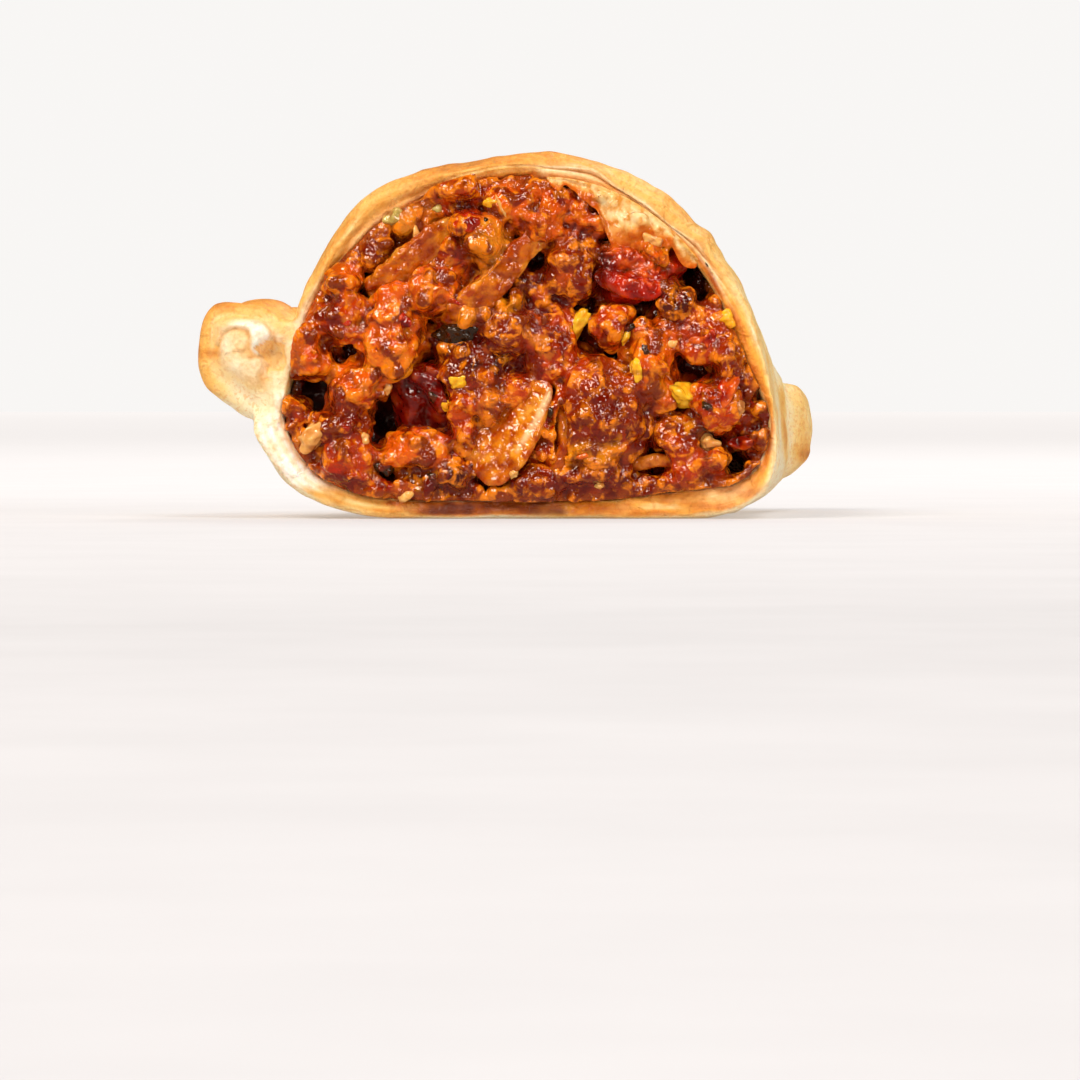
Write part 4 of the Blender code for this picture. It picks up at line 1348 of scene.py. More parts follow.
# %% Sauce along the base
POOL_STEP, POOL_WIDE, POOL_TOP, POOL_FRONT = 0.8, 1.5, 6.5, 0.15
pool_line = inner_outline(0.0, gap=0.25)
pool_travel = np.concatenate([[0], np.cumsum(np.linalg.norm(np.diff(pool_line, axis=0), axis=1))])
for distance in np.arange(0, pool_travel[-1], POOL_STEP):
    x, z = (float(np.interp(distance, pool_travel, pool_line[:, column])) for column in (0, 1))
    if z < POOL_TOP:
        wide = POOL_WIDE * (1 + 0.35 * waves(np.array([[x, 0.0, z]]), 2.6, 45)[0])
        shapes.append(lump((x, POOL_FRONT + wide / 2, z), (wide, 1.6 * wide, wide), 0, 2, 0.2, 46))
print(len(shapes) - len(solids), "drops of sauce")


# %% [markdown]
# Crumbs fall on whatever lies in front, so each is dropped straight into the cut until it meets a lump, and
# sinks in by a part of its size. Small ones are far more common than large ones, which a squared random
# number gives.

# %% Where a crumb comes to rest
CORE_FRONT = 3.8  # the hidden core of the filling starts this deep


def meat_front(x, z):
    """Roughly how deep the lumps' surface lies at this spot of the cut."""
    lump_x, lump_z, wide, high, tilt, front, deep = solid_rows.T
    turn = np.radians(tilt)
    dx, dz = x - lump_x, z - lump_z
    u = (dx * np.cos(turn) + dz * np.sin(turn)) / (wide / 2)
    v = (-dx * np.sin(turn) + dz * np.cos(turn)) / (high / 2)
    inward = 1 - u * u - v * v
    fronts = np.where(inward > 0, front + deep / 2 * (1 - np.sqrt(np.clip(inward, 0, 1))), CORE_FRONT)
    return min(float(fronts.min()), CORE_FRONT)


print("depth of the biggest lump:", round(meat_front(47.4, 11.9), 1), "mm")

# %% Crumbs on the lumps
CRUMBS, CRUMB_ROOM, BEYOND_RIM = 800, 1.05, 0.4
BIG_LUMPS_BEFORE, BIG_LUMPS_CARRY = 0.3, 0.62  # the big lumps hold together and carry only small crumbs
crumb_homes, crumb_tones = [], []
low, high = low - BEYOND_RIM, high + BEYOND_RIM
while len(crumb_homes) < CRUMBS:
    x, z = rng.uniform(low[0], high[0]), rng.uniform(low[1], high[1])
    size = 0.7 + 1.9 * rng.random() ** 2
    flat, tilt = rng.uniform(0.4, 1.0), rng.uniform(0, 180)
    tone_draw, sink = rng.random(), rng.uniform(0.05, 0.45)
    power = rng.uniform(1.3, 4.0)
    if not inside(rim, x, z) or in_hole(x, z, CRUMB_ROOM):
        continue
    front = meat_front(x, z)
    if front < BIG_LUMPS_BEFORE:
        size *= BIG_LUMPS_CARRY
    place = (x, front + size * sink, z)
    crumb_homes.append(place)
    crumb_tones.append(tone_draw)
    shapes.append(lump(place, (size, size * 0.9, size * flat), tilt, 2, 0.35, len(shapes), power))
filling = gather("pork_filling", shapes)
print("crumbs:", len(crumb_homes))

# %% [markdown]
# Overlapping balls still look like balls. A voxel remesh makes one skin of them, and a few rounds of
# evening round off its steps, which is just what thick sauce does to a heap of mince.

# %% Melt the meat together
MEAT_VOXEL = 0.26
CORE_DEPTHS = (CORE_FRONT, 7.0, 10.0, 13.0)
core = loft("core", [ring_at(inner_outline(d, gap=0.1), d) for d in CORE_DEPTHS])
holes = gather("holes", [lump((x, 3.0, z), (w, deep, h), t, 3, 0.12, 7) for x, z, w, h, t, deep in HOLES])
boolean(core, holes, "DIFFERENCE")
mesh = bmesh.new()
mesh.from_mesh(filling.data)
mesh.from_mesh(core.data)
mesh.to_mesh(filling.data)
mesh.free()
bpy.data.objects.remove(core)
melt(filling, MEAT_VOXEL)
relax(filling, 5)
print("melted:", triangles_of(filling), "triangles")

# %% [markdown]
# The vegetables were in the pan too, so the meat has dents where they lie. Each dent is an ellipse of the
# cut, and meat inside it is pressed back behind the vegetable's face.

# %% Dents for the vegetables
# millimetres along, up, wide and high, tilt in degrees, and how deep the dent's floor is
DENTS = (
    (50.2, 28.8, 7.6, 6.0, -8, 1.1),
    (26.4, 13.6, 5.6, 6.2, 15, 1.8),
    (37.9, 11.4, 11.0, 3.2, 49, 0.7),
    (25.0, 30.7, 7.6, 1.5, 42, 0.6),
    (34.8, 28.2, 9.4, 1.5, 47, 0.6),
    (42.4, 9.4, 1.2, 8.0, 0, 0.8),
    (30.5, 21.6, 3.0, 1.6, -5, -0.3),
)
points = points_of(filling)
for x, z, wide, high, tilt, floor in DENTS:
    reach = ellipse_reach(points[:, 0], points[:, 2], (x, z), wide, high, tilt)
    pressed = np.maximum(points[:, 1], floor)
    points[:, 1] += smoothstep(1.05, 0.85, reach) * (pressed - points[:, 1])
move_points(filling, points)
print("dents:", len(DENTS))

# %% [markdown]
# Meat breaks along its fibres into ragged puffs, and sauce fills them in again. Both happen here: rounded
# hills of three sizes are pushed out along the normals, then the sauced parts are evened more than the dry
# ones. Last, whatever went through the wall is laid back against it.


# %% Grains and puffs
def grains(points, size, salt=0):
    """Distance to the nearest scattered centre, in grain sizes: 0 in a grain's middle, near 1 between."""
    scaled = np.asarray(points) / size
    cell = np.floor(scaled).astype(np.int64)
    nearest = np.full(len(scaled), 9.0)
    for offset in itertools.product((-1, 0, 1), repeat=3):
        home = cell + np.array(offset)
        centre = home + np.stack([lattice(home, salt + axis) for axis in (11, 23, 37)], axis=1)
        nearest = np.minimum(nearest, ((scaled - centre) ** 2).sum(axis=1))
    return np.sqrt(nearest)


def puffs(points, size, salt=0):
    """Rounded hills with sharp creases between them, from about -0.3 to 0.7."""
    warp = np.column_stack([waves(points, 1.4 * size, salt + axis) for axis in (1, 2, 3)])
    return np.abs(waves(points + 0.4 * size * warp, size, salt)) - 0.3


# %% Crumble and sauce
GRAIN_SIZE = 1.8
points = points_of(filling)
at_front = smoothstep(7.5, 5.0, points[:, 1])
saucy = smoothstep(-0.25, 0.25, waves(points, 6.0, 40))
coarse = 0.55 - grains(points + 0.4 * waves(points, 2.0, 41)[:, None], GRAIN_SIZE, 42)
push = 0.9 * puffs(points, 3.4, 50) + 0.7 * puffs(points, 1.7, 54) + 0.25 * puffs(points, 0.95, 58)
push += 0.40 * coarse * (1 - saucy)
points += normals_of(filling) * (push * at_front)[:, None]
sauce_mean = neighbour_mean(filling)
for _ in range(4):
    points += ((0.15 + 0.35 * saucy) * at_front)[:, None] * (sauce_mean(points) - points)
print("puffs push out by up to", round(push.max(), 2), "mm")

# %% Back against the wall
WALL_OVERLAP, PROUD_OVERLAP, LESS_AT_BASE = 0.15, 0.9, 0.6  # how far meat may stand past the wall's line
PROUDEST = -4.4
found = [inner_skin.find_nearest(p) for p in points]
wall_out = np.array([f[1] for f in found])
beyond = ((points - np.array([f[0] for f in found])) * wall_out).sum(axis=1)
near_base = smoothstep(8, 5, points[:, 2])
allowed = np.clip(-points[:, 1], WALL_OVERLAP, PROUD_OVERLAP - LESS_AT_BASE * near_base)
points -= wall_out * np.maximum(beyond - allowed, 0)[:, None]
points[:, 1] = np.maximum(points[:, 1], PROUDEST)
move_points(filling, points)
print("the meat stands", round(-points[:, 1].min(), 1), "mm proud of the cut")

# %% [markdown]
# Behind the front the faces can be larger, because nobody sees them but the shadows.

# %% Thin out the hidden back
HIDDEN_FROM = 5.2
points = points_of(filling)
thin_out(filling, points[:, 1] > HIDDEN_FROM, 0.55)
print("kept:", triangles_of(filling), "triangles")

# %% [markdown]
# A lump keeps its own tone, blended into its neighbours where they touch, and a crumb tints what is round
# it. How far a point lies below its surroundings says where sauce has pooled, and painted shade darkens it
# there as well; how far behind the cut it lies sets painted shade that darkens it towards near black.

# %% Tones of lumps and crumbs
CRUMB_TONES = ("dark", "brown", "rust", "red", "orange", "tan", "gold")
CRUMB_SHARES = (0.16, 0.40, 0.62, 0.70, 0.88, 0.95)  # each tone's draws end where the next one's start
points = points_of(filling)
weights = np.zeros(len(points))
tint = np.zeros((len(points), 3))
for tone, x, z, wide, high, tilt, proud in LUMPS:
    reach = ellipse_reach(points[:, 0], points[:, 2], (x, z), wide, high, tilt)
    weight = np.exp(-np.clip(reach - 0.75, 0, 3) * 7) * (1 + proud)
    weight = np.maximum(weight, 1e-9)
    weights += weight
    tint += weight[:, None] * np.array(linear(TONES[tone])[:3])
tint /= weights[:, None]
ground = np.array(linear(TONES["brown"])[:3])
by_lump = smoothstep(0.02, 0.4, weights)[:, None]
tint = ground * (1 - by_lump) + tint * by_lump
nearest_crumb, crumb_far = nearest_of(crumb_homes, points)
draw = np.array(crumb_tones)[nearest_crumb]
crumb_colours = np.array([linear(TONES[tone])[:3] for tone in CRUMB_TONES])
pick = np.searchsorted(CRUMB_SHARES, draw)
tint += (smoothstep(1.3, 0.5, crumb_far) * 0.55)[:, None] * (crumb_colours[pick] - tint)
print("share tinted by crumbs:", round((crumb_far < 1.3).mean(), 2))

# %% Sauce and shade on the meat
dip = hollowness(filling, 10)
broad_dip = hollowness(filling, 60)
wall_far = np.array([inner_skin.find_nearest(p)[3] for p in points])
by_wall = smoothstep(1.3, 0.3, wall_far) * smoothstep(2.5, 1.0, points[:, 1])
# hollows are painted dark red: partly sauce that gathers there, partly painted shade
sauce_and_shade_in_hollows = (0.8 * smoothstep(0.0, 0.45, dip) + 0.8 * smoothstep(0.0, 0.8, broad_dip)) * (1 - 0.7 * by_wall)
# painted shade: the further a point lies behind the cut, the darker it is painted, down to near black
deep = smoothstep(1.6, 4.6, points[:, 1] + 1.2 * smoothstep(0.1, 0.8, broad_dip))
shade = np.clip(1 - 0.6 * sauce_and_shade_in_hollows, 0, 1) * (1 - deep)
tint = mix(tint, "#a04408", 0.6 * by_wall)
tint = mix(tint, "#560501", np.clip(1.35 * sauce_and_shade_in_hollows, 0, 0.92))
tint = mix(tint, "#380602", deep)
paint(filling, "tint", tint)
paint(filling, "shade", np.clip(shade, 0, 1))
# crest marks convex spots, which the material paints more orange: thinner sauce there, and painted light
paint(filling, "crest", smoothstep(0.02, -0.30, dip))
print("share in pooled sauce:", round((sauce_and_shade_in_hollows > 0.5).mean(), 2))

# %% [markdown]
# ### Pork in red sauce
#
# Cooked meat is matt and pale inside, but here sauce covers it: thick and dark where it gathers, thin and
# orange on the crests, and painted shade in the hollows and painted light on the crests add to both. Its
# threads of fat show paler where they stand up through the sauce, and the sauce lies between them in films a
# couple of millimetres across.

# %% Colour of the meat
meat, tree, surface = new_material("minced_pork_in_sauce")
here = add(tree, "TexCoord").outputs["Object"]
tint_mark = add(tree, "Attribute", {"attribute_name": "tint"}).outputs["Color"]
shade_mark = add(tree, "Attribute", {"attribute_name": "shade"}).outputs["Fac"]
crest_mark = add(tree, "Attribute", {"attribute_name": "crest"}).outputs["Fac"]
THREAD_MM, FILM_MM = 1.3, 2.6
thread = {"Vector": here, "Scale": per_mm(THREAD_MM), "Detail": 3.0, "Distortion": 0.8}
thread = add(tree, "TexNoise", None, thread)
lit = add(tree, "Math", {"operation": "MULTIPLY_ADD"}, {0: crest_mark, 1: 0.20, 2: thread})
warm = {"Value": lit, "From Min": 0.49, "From Max": 0.72, "To Min": 0.0, "To Max": 0.95}
warm = add(tree, "MapRange", SOFT, warm)
warm_lit = add(tree, "Math", {"operation": "MULTIPLY"}, {0: warm, 1: shade_mark})
warmed = add(tree, "Mix", BLEND, {"Factor": warm_lit, "A": tint_mark, "B": linear("#ee8010")})
film = {"Vector": here, "Scale": per_mm(FILM_MM), "Detail": 4.0, "Distortion": 0.5}
film = add(tree, "TexNoise", None, film)
sauce = {"Value": film, "From Min": 0.49, "From Max": 0.61, "To Min": 0.0, "To Max": 0.88}
sauce = add(tree, "MapRange", SOFT, sauce)
sauce_lit = add(tree, "Math", {"operation": "MULTIPLY"}, {0: sauce, 1: shade_mark})
sauced = add(tree, "Mix", BLEND, {"Factor": sauce_lit, "A": warmed, "B": linear("#680c02")})
print("threads every", THREAD_MM, "mm, films of sauce every", FILM_MM, "mm")

# %% [markdown]
# The eye sees two wet surfaces. The sauce has an IOR of 1.45 and a roughness near 0.1, and its reflections
# are tinted by its own red oil; over it lies a film of clear oil, IOR 1.5, smooth as water, whose
# highlights are small and white. Light goes about a millimetre into the meat and comes out redder. The wet
# skin is crinkled 0.6 mm apart, coarser than real fibres, so that each crinkle carries a highlight.


# %% Wet surface of the meat
def wet_skin(tree, surface, here, apart, height):
    """Crinkles a surface and lays a clear film of oil over it."""
    crinkle = {"Vector": here, "Scale": per_mm(apart), "Detail": 0.3, "Distortion": 0.5}
    crinkle = add(tree, "TexNoise", None, crinkle)
    bump = add(tree, "Bump", None, {"Strength": 1.0, "Distance": height * MM, "Height": crinkle})
    oil = {"Coat Weight": 1.0, "Coat IOR": 1.5, "Coat Roughness": 0.06}
    fill(surface, {"Normal": bump, "Coat Normal": bump, **oil})


CRINKLE_MM, CRINKLE_HEIGHT = 0.58, 0.27
wet_skin(tree, surface, here, CRINKLE_MM, CRINKLE_HEIGHT)
sauce_look = {"Roughness": 0.12, "IOR": 1.45, "Specular IOR Level": 0.35}
fill(surface, {"Base Color": sauced, **sauce_look, "Specular Tint": linear("#ffb878")})
meat_glow = {"Subsurface Weight": 0.12, "Subsurface Radius": (1.0, 0.25, 0.08)}
fill(surface, {**meat_glow, "Subsurface Scale": 1.0 * MM})
finish_piece(filling, meat, ["filling"])

# %% [markdown]
# ## Vegetables
#
# Pieces that keep a shape of their own lie in the dents: two pieces of red pepper, a slab and strips of
# onion, and small bits of other things. A long piece is swept along a bent line with a flattened section
# and a short one is a roughened ball; both are then melted and given relief.
#
# A ray sent straight into the cut finds what lies in front at any spot. It is asked before each small piece
# is placed, so the piece rests on the meat and doesn't float before it when one walks round.

# %% Looking into the cut
LOOK_FROM, NOTHING_BEHIND = -8.0, 3.0
FRAME_TO_FACE = FACE_TO_FRAME.inverted()
meat_skin = skin_of(filling)


def depth_at(x, z, skins):
    """Depth of the nearest of these surfaces where one looks straight into the cut."""
    start = FACE_TO_FRAME @ Vector((x, LOOK_FROM, z))
    hits = [skin.ray_cast(start, Vector((0, 1, 0)))[0] for skin in skins]
    return min([(FRAME_TO_FACE @ hit).y for hit in hits if hit], default=NOTHING_BEHIND)


def depth_under(x, z, wide, high, skins):
    """The typical depth under a small piece: near the front of what the piece covers."""
    spots = [(x + a * wide, z + b * high) for a in (-0.35, 0, 0.35) for b in (-0.35, 0, 0.35)]
    return float(np.percentile([depth_at(*place, skins) for place in spots], 30))


print("depth of the biggest lump now:", round(depth_at(47.4, 11.9, [meat_skin]), 1), "mm")


# %% [markdown]
# A strip of vegetable bends, twists and tapers off. It is swept through a few stations, each with its own
# width, thickness and roll, and its section is a superellipse, because a knife leaves flat sides and dull
# corners.

# %% Long pieces
ENDS_ROUND = 10  # the power that keeps a strip wide nearly up to its ends


def strip(line, sides=20, steps=60, power=2.4):
    """A solid swept along (x, y, z, wide, thick, roll) stations; roll lifts its right edge out of the cut."""
    line = np.array(line, float)
    at = np.linspace(0, len(line) - 1, steps)
    stations = np.column_stack([np.interp(at, np.arange(len(line)), column) for column in line.T])
    for _ in range(4):
        stations[1:-1] = (stations[:-2] + 2 * stations[1:-1] + stations[2:]) / 4
    spine = stations[:, :3]
    ahead = np.gradient(spine, axis=0)
    ahead /= np.linalg.norm(ahead, axis=1)[:, None]
    swing = 2 * np.pi * np.arange(sides) / sides
    section = np.column_stack([np.cos(swing), np.sin(swing)])
    section = np.copysign(np.abs(section) ** (2 / power), section)
    ending = np.sqrt(np.clip(1 - np.abs(np.linspace(-1, 1, steps)) ** ENDS_ROUND, 0.02, 1))
    rings = []
    for k in range(steps):
        aside = np.cross(ahead[k], (0, 1, 0))
        aside /= np.linalg.norm(aside)
        inward = np.cross(aside, ahead[k])
        inward *= np.sign(inward[1]) or 1
        roll = math.radians(stations[k, 5])
        wide_way = aside * math.cos(roll) - inward * math.sin(roll)
        thick_way = aside * math.sin(roll) + inward * math.cos(roll)
        half = section * (stations[k, 3] / 2 * ending[k], stations[k, 4] / 2 * ending[k])
        rings.append(spine[k] + half[:, :1] * wide_way + half[:, 1:] * thick_way)
    row, side = np.meshgrid(np.arange(steps - 1), np.arange(sides), indexing="ij")
    a, b = (row * sides + side).ravel(), (row * sides + (side + 1) % sides).ravel()
    fan = np.arange(1, sides - 1)
    near, far = np.zeros_like(fan), np.full_like(fan, (steps - 1) * sides)
    triangles = [
        np.column_stack([a, b, b + sides]),
        np.column_stack([a, b + sides, a + sides]),
        np.column_stack([near, fan + 1, fan]),
        np.column_stack([far, far + fan, far + fan + 1]),
    ]
    return np.vstack(rings), np.vstack(triangles)


def solid_piece(name, shapes, voxel, rounds):
    """Melts shapes together into one closed skin and evens it."""
    piece = gather(name, shapes)
    turn_faces_out(piece)
    melt(piece, voxel)
    relax(piece, rounds)
    return piece


# %% [markdown]
# ### Wet flesh
#
# Stewed vegetables are all the same thing to the eye: cell walls full of water, so light goes a little way
# in and comes out coloured, under a thin coat of oil that gives small sharp highlights. One function makes
# such a material; the colour is painted on the points, and only the mottle, the skin's bumps and how far
# light goes in differ.


# %% Wet flesh
def wet_flesh(name, mottle_mm, mottle_dark, skin_mm, skin_height, glow, glow_reach):
    """A wet cooked piece's material, which reads the painted colour called tint."""
    material, tree, surface = new_material(name)
    here = add(tree, "TexCoord").outputs["Object"]
    tint_mark = add(tree, "Attribute", {"attribute_name": "tint"}).outputs["Color"]
    mottle = add(tree, "TexNoise", None, {"Vector": here, "Scale": per_mm(mottle_mm), "Detail": 4.0})
    dark_to_light = {"stops": [(0.36, mottle_dark), (0.56, "#ffffff")]}
    tone = add(tree, "ValToRGB", dark_to_light, {"Fac": mottle})
    mottled = add(tree, "Mix", GLAZE, {"Factor": 1.0, "A": tint_mark, "B": tone})
    wet_skin(tree, surface, here, skin_mm, skin_height)
    shine = {"Roughness": 0.20, "Specular IOR Level": 0.30, "Specular Tint": linear("#ffc890")}
    fill(surface, {"Base Color": mottled, **shine, "Subsurface Weight": glow})
    fill(surface, {"Subsurface Radius": glow_reach, "Subsurface Scale": 1.0 * MM})
    return material


# %% [markdown]
# ### Red pepper
#
# Stewed pepper is a thick skin over soft flesh. The upper piece is crumpled where its flesh shows and ends
# in a smooth lip of skin; the lower one shows its dark skin side. The crumples are rounded hills of three
# sizes, raised where the piece faces the cut.

# %% Shapes of red pepper
# along, up, wide, high and tilt of the small bits
PEPPER_BITS = (
    (59.4, 20.9, 2.6, 2.0, 20),
    (61.5, 14.6, 1.6, 3.4, -25),
    (64.0, 8.9, 4.2, 1.6, 22),
    (30.1, 25.6, 2.2, 1.5, -30),
    (31.8, 34.4, 2.4, 1.6, 10),
    (51.7, 22.2, 2.0, 1.2, 30),
    (24.0, 23.4, 1.3, 2.0, 10),
    (27.6, 17.2, 2.6, 1.3, -30),
    (17.5, 22.9, 1.1, 0.8, 40),
    (33.4, 27.6, 1.8, 1.0, -50),
    (45.0, 7.4, 1.3, 0.8, 15),
    (48.0, 31.9, 2.2, 1.1, 10),
)
PIECE_VOXEL = 0.2
bit_draws = np.random.default_rng(5)


def small_bits(rows, skins, bulk=1.15):
    """Roughened shapes, from flat-sided to round, half sunk in what lies at (along, up, wide, high, tilt)."""
    made = []
    for x, z, wide, high, tilt in rows:
        thick = 1.4 * min(wide, high)
        middle = (x, depth_under(x, z, wide, high, skins) + 0.30 * thick, z)
        salt, power = int(bit_draws.integers(1000)), bit_draws.uniform(1.4, 3.6)
        made.append(lump(middle, (bulk * wide, thick, bulk * high), tilt, 4, 0.36, salt, power))
    return made


crumpled = lump((50.5, 2.7, 29.2), (8.8, 6.8, 6.0), -8, 4, 0.34, 3, 3.0)
lip_line = (
    (46.6, 1.2, 28.6, 1.8, 3.0, 0),
    (48.2, 0.1, 27.9, 2.4, 2.6, 12),
    (50.4, -0.3, 27.1, 2.7, 2.6, 18),
    (52.6, -0.1, 26.7, 2.5, 2.6, 14),
    (54.4, 0.9, 27.2, 1.9, 2.6, 0),
)
edge_line = ((24.2, 1.6, 17.6, 1.6, 2.6, 0), (27.4, 0.7, 15.6, 2.2, 2.6, 0), (28.9, 1.2, 12.4, 2.2, 2.6, 0))
skin_side = lump((26.4, 4.6, 13.8), (7.2, 7.2, 8.4), 15, 4, 0.24, 5, 2.8)
shapes = [crumpled, strip(lip_line, 24, 60, 3.0), skin_side, strip(edge_line)]
shapes += small_bits(PEPPER_BITS, [meat_skin])
pepper = solid_piece("red_pepper_bits", shapes, PIECE_VOXEL, 2)
print("red pepper:", triangles_of(pepper), "triangles")

# %% Crumples of the red pepper
UPPER_PIECE, LOWER_PIECE = (50.2, 29.2), (26.3, 13.6)
VEGETABLES_PROUDEST = -4.3
points = points_of(pepper)
x, y, z = points.T  # views, so that what moves y moves the points
facing = smoothstep(-0.1, -0.7, normals_of(pepper)[:, 1])
upper = smoothstep(5.8, 4.6, np.hypot(x - UPPER_PIECE[0], z - UPPER_PIECE[1]))
lower = smoothstep(5.0, 4.0, np.hypot(x - LOWER_PIECE[0], z - LOWER_PIECE[1]))
lip_edge = z + 0.22 * (x - UPPER_PIECE[0])
crumples = 0.7 * puffs(points, 2.4, 61) + 0.8 * puffs(points, 1.3, 64) + 0.5 * puffs(points, 0.8, 65)
y -= facing * upper * smoothstep(28.0, 29.2, lip_edge) * 1.3 * crumples
y -= facing * upper * smoothstep(29.2, 28.0, lip_edge) * 0.9 * puffs(points, 1.7, 66)
wrinkles = puffs(points, 1.5, 67) * smoothstep(12.5, 15.5, z + 0.5 * (x - 26.0))
y -= facing * lower * (0.8 * wrinkles + 0.9 * puffs(points, 3.6, 63))
y -= facing * (1 - upper) * (1 - lower) * 0.4 * puffs(points, 1.0, 68)
points[:, 1] = np.maximum(y, VEGETABLES_PROUDEST)
move_points(pepper, points)
relax(pepper, 1)
print("the pepper stands", round(-y.min(), 1), "mm proud")

# %% Colours of the red pepper
# painted shade: the pepper is painted darker in its hollows and lighter on the crests of its crumples
tone = 0.53 + 0.36 * waves(points, 2.2, 69) + 0.20 * waves(points, 0.9, 70) - 1.2 * hollowness(pepper, 12)
pepper_tint = ramp(tone, ((0.1, "#400301"), (0.4, "#920e02"), (0.62, "#be2404"), (0.88, "#ea6414")))
pepper_tint = mix(pepper_tint, "#6a0402", 0.7 * lower)
pepper_tint = mix(pepper_tint, "#cc1e06", 0.45 * upper * smoothstep(28.6, 27.6, lip_edge))
crusted = upper * smoothstep(28.6, 30.4, lip_edge + 0.8 * waves(points, 2.0, 62))
crusted *= 0.5 + 0.5 * waves(points, 1.4, 74)
pepper_tint = mix(pepper_tint, "#d8601c", 0.8 * crusted)
pepper_tint = mix(pepper_tint, "#440302", 0.8 * upper * smoothstep(49.0, 47.0, x))
paint(pepper, "tint", pepper_tint)
pepper_flesh = wet_flesh("stewed_red_pepper", 1.6, "#b07060", 0.75, 0.30, 0.15, (1.6, 0.2, 0.1))
finish_piece(pepper, pepper_flesh, ["red_pepper_upper", "red_pepper_lower"])

# %% [markdown]
# ### Onion
#
# Stewed onion is a thin layer of long cells: translucent amber, ribbed lengthwise, and pale along a cut
# edge, where nothing coloured lies behind it. The slab leans, so that its left side is buried and its right
# edge catches the light. All the pieces happen to lie at about the same slant, so one direction gives all
# their ribs.

# %% Shapes of onion
SLAB_EDGE = ((41.3, -2.3, 15.2), (39.7, -2.2, 11.6), (37.5, -1.7, 7.9))
SLAB = (
    (41.0, -1.2, 16.2, 2.4, 0.9, 30),
    (39.5, -1.0, 14.0, 4.6, 1.0, 30),
    (37.6, -0.8, 11.4, 6.8, 1.1, 27),
    (35.4, -0.6, 8.8, 8.0, 1.1, 23),
    (33.4, -0.4, 6.8, 7.4, 1.0, 18),
    (32.0, 0.0, 5.6, 5.4, 0.9, 14),
)
BESIDE_SLAB = (
    (41.4, 1.2, 14.8, 1.4, 2.6, 0),
    (42.8, -0.2, 11.8, 2.0, 2.6, -20),
    (43.0, -0.4, 9.0, 2.2, 2.6, -25),
    (42.2, -0.1, 6.4, 2.0, 2.6, -20),
    (41.0, 1.0, 4.4, 1.4, 2.6, 0),
)
UPPER_LEFT = (
    (30.4, 0.8, 34.8, 3.2, 1.6, -20),
    (27.6, -0.6, 32.6, 3.6, 1.6, -26),
    (25.0, -1.0, 30.4, 3.8, 1.5, -28),
    (22.6, -0.9, 28.4, 3.8, 1.5, -26),
    (20.0, 0.6, 26.2, 3.4, 1.5, -20),
)
UPPER_MIDDLE = (
    (40.8, 0.9, 34.2, 3.0, 1.6, -10),
    (38.0, -0.5, 31.4, 3.2, 1.6, -18),
    (35.6, -1.0, 28.6, 3.6, 1.6, -22),
    (33.2, -1.2, 26.0, 3.8, 1.8, -20),
    (31.0, -0.8, 24.2, 3.8, 2.2, -8),
    (29.0, 0.9, 22.6, 3.2, 2.0, 0),
)
LOW_RIGHT = ((50.6, 1.4, 6.3, 1.4, 1.4, 0), (54.0, 0.4, 6.9, 1.7, 1.4, 0), (57.4, 1.2, 6.6, 1.4, 1.4, 0))
shapes = [
    strip(SLAB, 40, 90, 6.0),
    strip([(*place, 0.45, 0.45, 0) for place in SLAB_EDGE], 12, 60),
    strip(BESIDE_SLAB, 24, 60, 4.0),
    strip(UPPER_LEFT, 32, 70, 6.0),
    strip(UPPER_MIDDLE, 32, 70, 6.0),
    strip(LOW_RIGHT),
]
onion = solid_piece("onion_pieces", shapes, PIECE_VOXEL, 1)
print("onion:", triangles_of(onion), "triangles")

# %% Ribs of the onion
ONION_SLANT = math.radians(49)
points = points_of(onion)
x, y, z = points.T.copy()
along_slant = x * math.cos(ONION_SLANT) + z * math.sin(ONION_SLANT)
across = -x * math.sin(ONION_SLANT) + z * math.cos(ONION_SLANT)
stretched = np.column_stack([along_slant / 5, y, across])
edge_spots = np.vstack([np.linspace(start, end, 20) for start, end in zip(SLAB_EDGE, SLAB_EDGE[1:])])
edge_far = np.min([np.linalg.norm(points - place, axis=1) for place in edge_spots], axis=0)
at_edge = smoothstep(0.65, 0.30, edge_far)
on_slab = smoothstep(27, 31, x) * smoothstep(20, 17, z)
ribs = 0.13 * waves(stretched, 0.7, 71) * (1 - at_edge)
uneven = 0.55 * puffs(points, 1.8, 73) + 0.22 * puffs(points, 0.8, 76)
uneven = 0.18 * puffs(points, 2.2, 72) + (1 - on_slab) * uneven
points += normals_of(onion) * (ribs + uneven)[:, None]
points[:, 1] = np.maximum(points[:, 1], VEGETABLES_PROUDEST)
move_points(onion, points)
print("share on a cut edge:", round(at_edge.mean(), 3))

# %% Colours of the onion
# painted shade: the onion is painted a little darker in its hollows
tone = 0.50 + 0.22 * waves(stretched, 0.8, 77) + 0.30 * waves(points, 3.0, 78) - 0.2 * hollowness(onion, 10)
onion_tint = ramp(tone, ((0.0, "#8a2c04"), (0.35, "#c45a08"), (0.6, "#e48414"), (0.85, "#f4a840")))
sauce_share = smoothstep(0.10, 0.45, waves(points, 1.9, 79) - 0.3 * on_slab) * (1 - at_edge)
onion_tint = mix(onion_tint, "#9c3004", 0.7 * sauce_share)
onion_tint = mix(onion_tint, "#b04a0a", 0.55 * smoothstep(40.9, 41.6, points[:, 0]))
onion_tint = mix(onion_tint, "#f8cc94", 0.85 * at_edge)
paint(onion, "tint", onion_tint)
onion_flesh = wet_flesh("stewed_onion", 1.2, "#c88850", 0.6, 0.18, 0.2, (1.6, 0.6, 0.2))
finish_piece(onion, onion_flesh, ["onion_strip", "onion_piece"])

# %% [markdown]
# ### Bits of other things
#
# Yellow pepper, garlic, olive and herbs are chopped so fine that only their colour tells what they are.
# They are made alike: roughened shapes, flat-sided or round, half sunk in the meat, one piece for each
# kind.

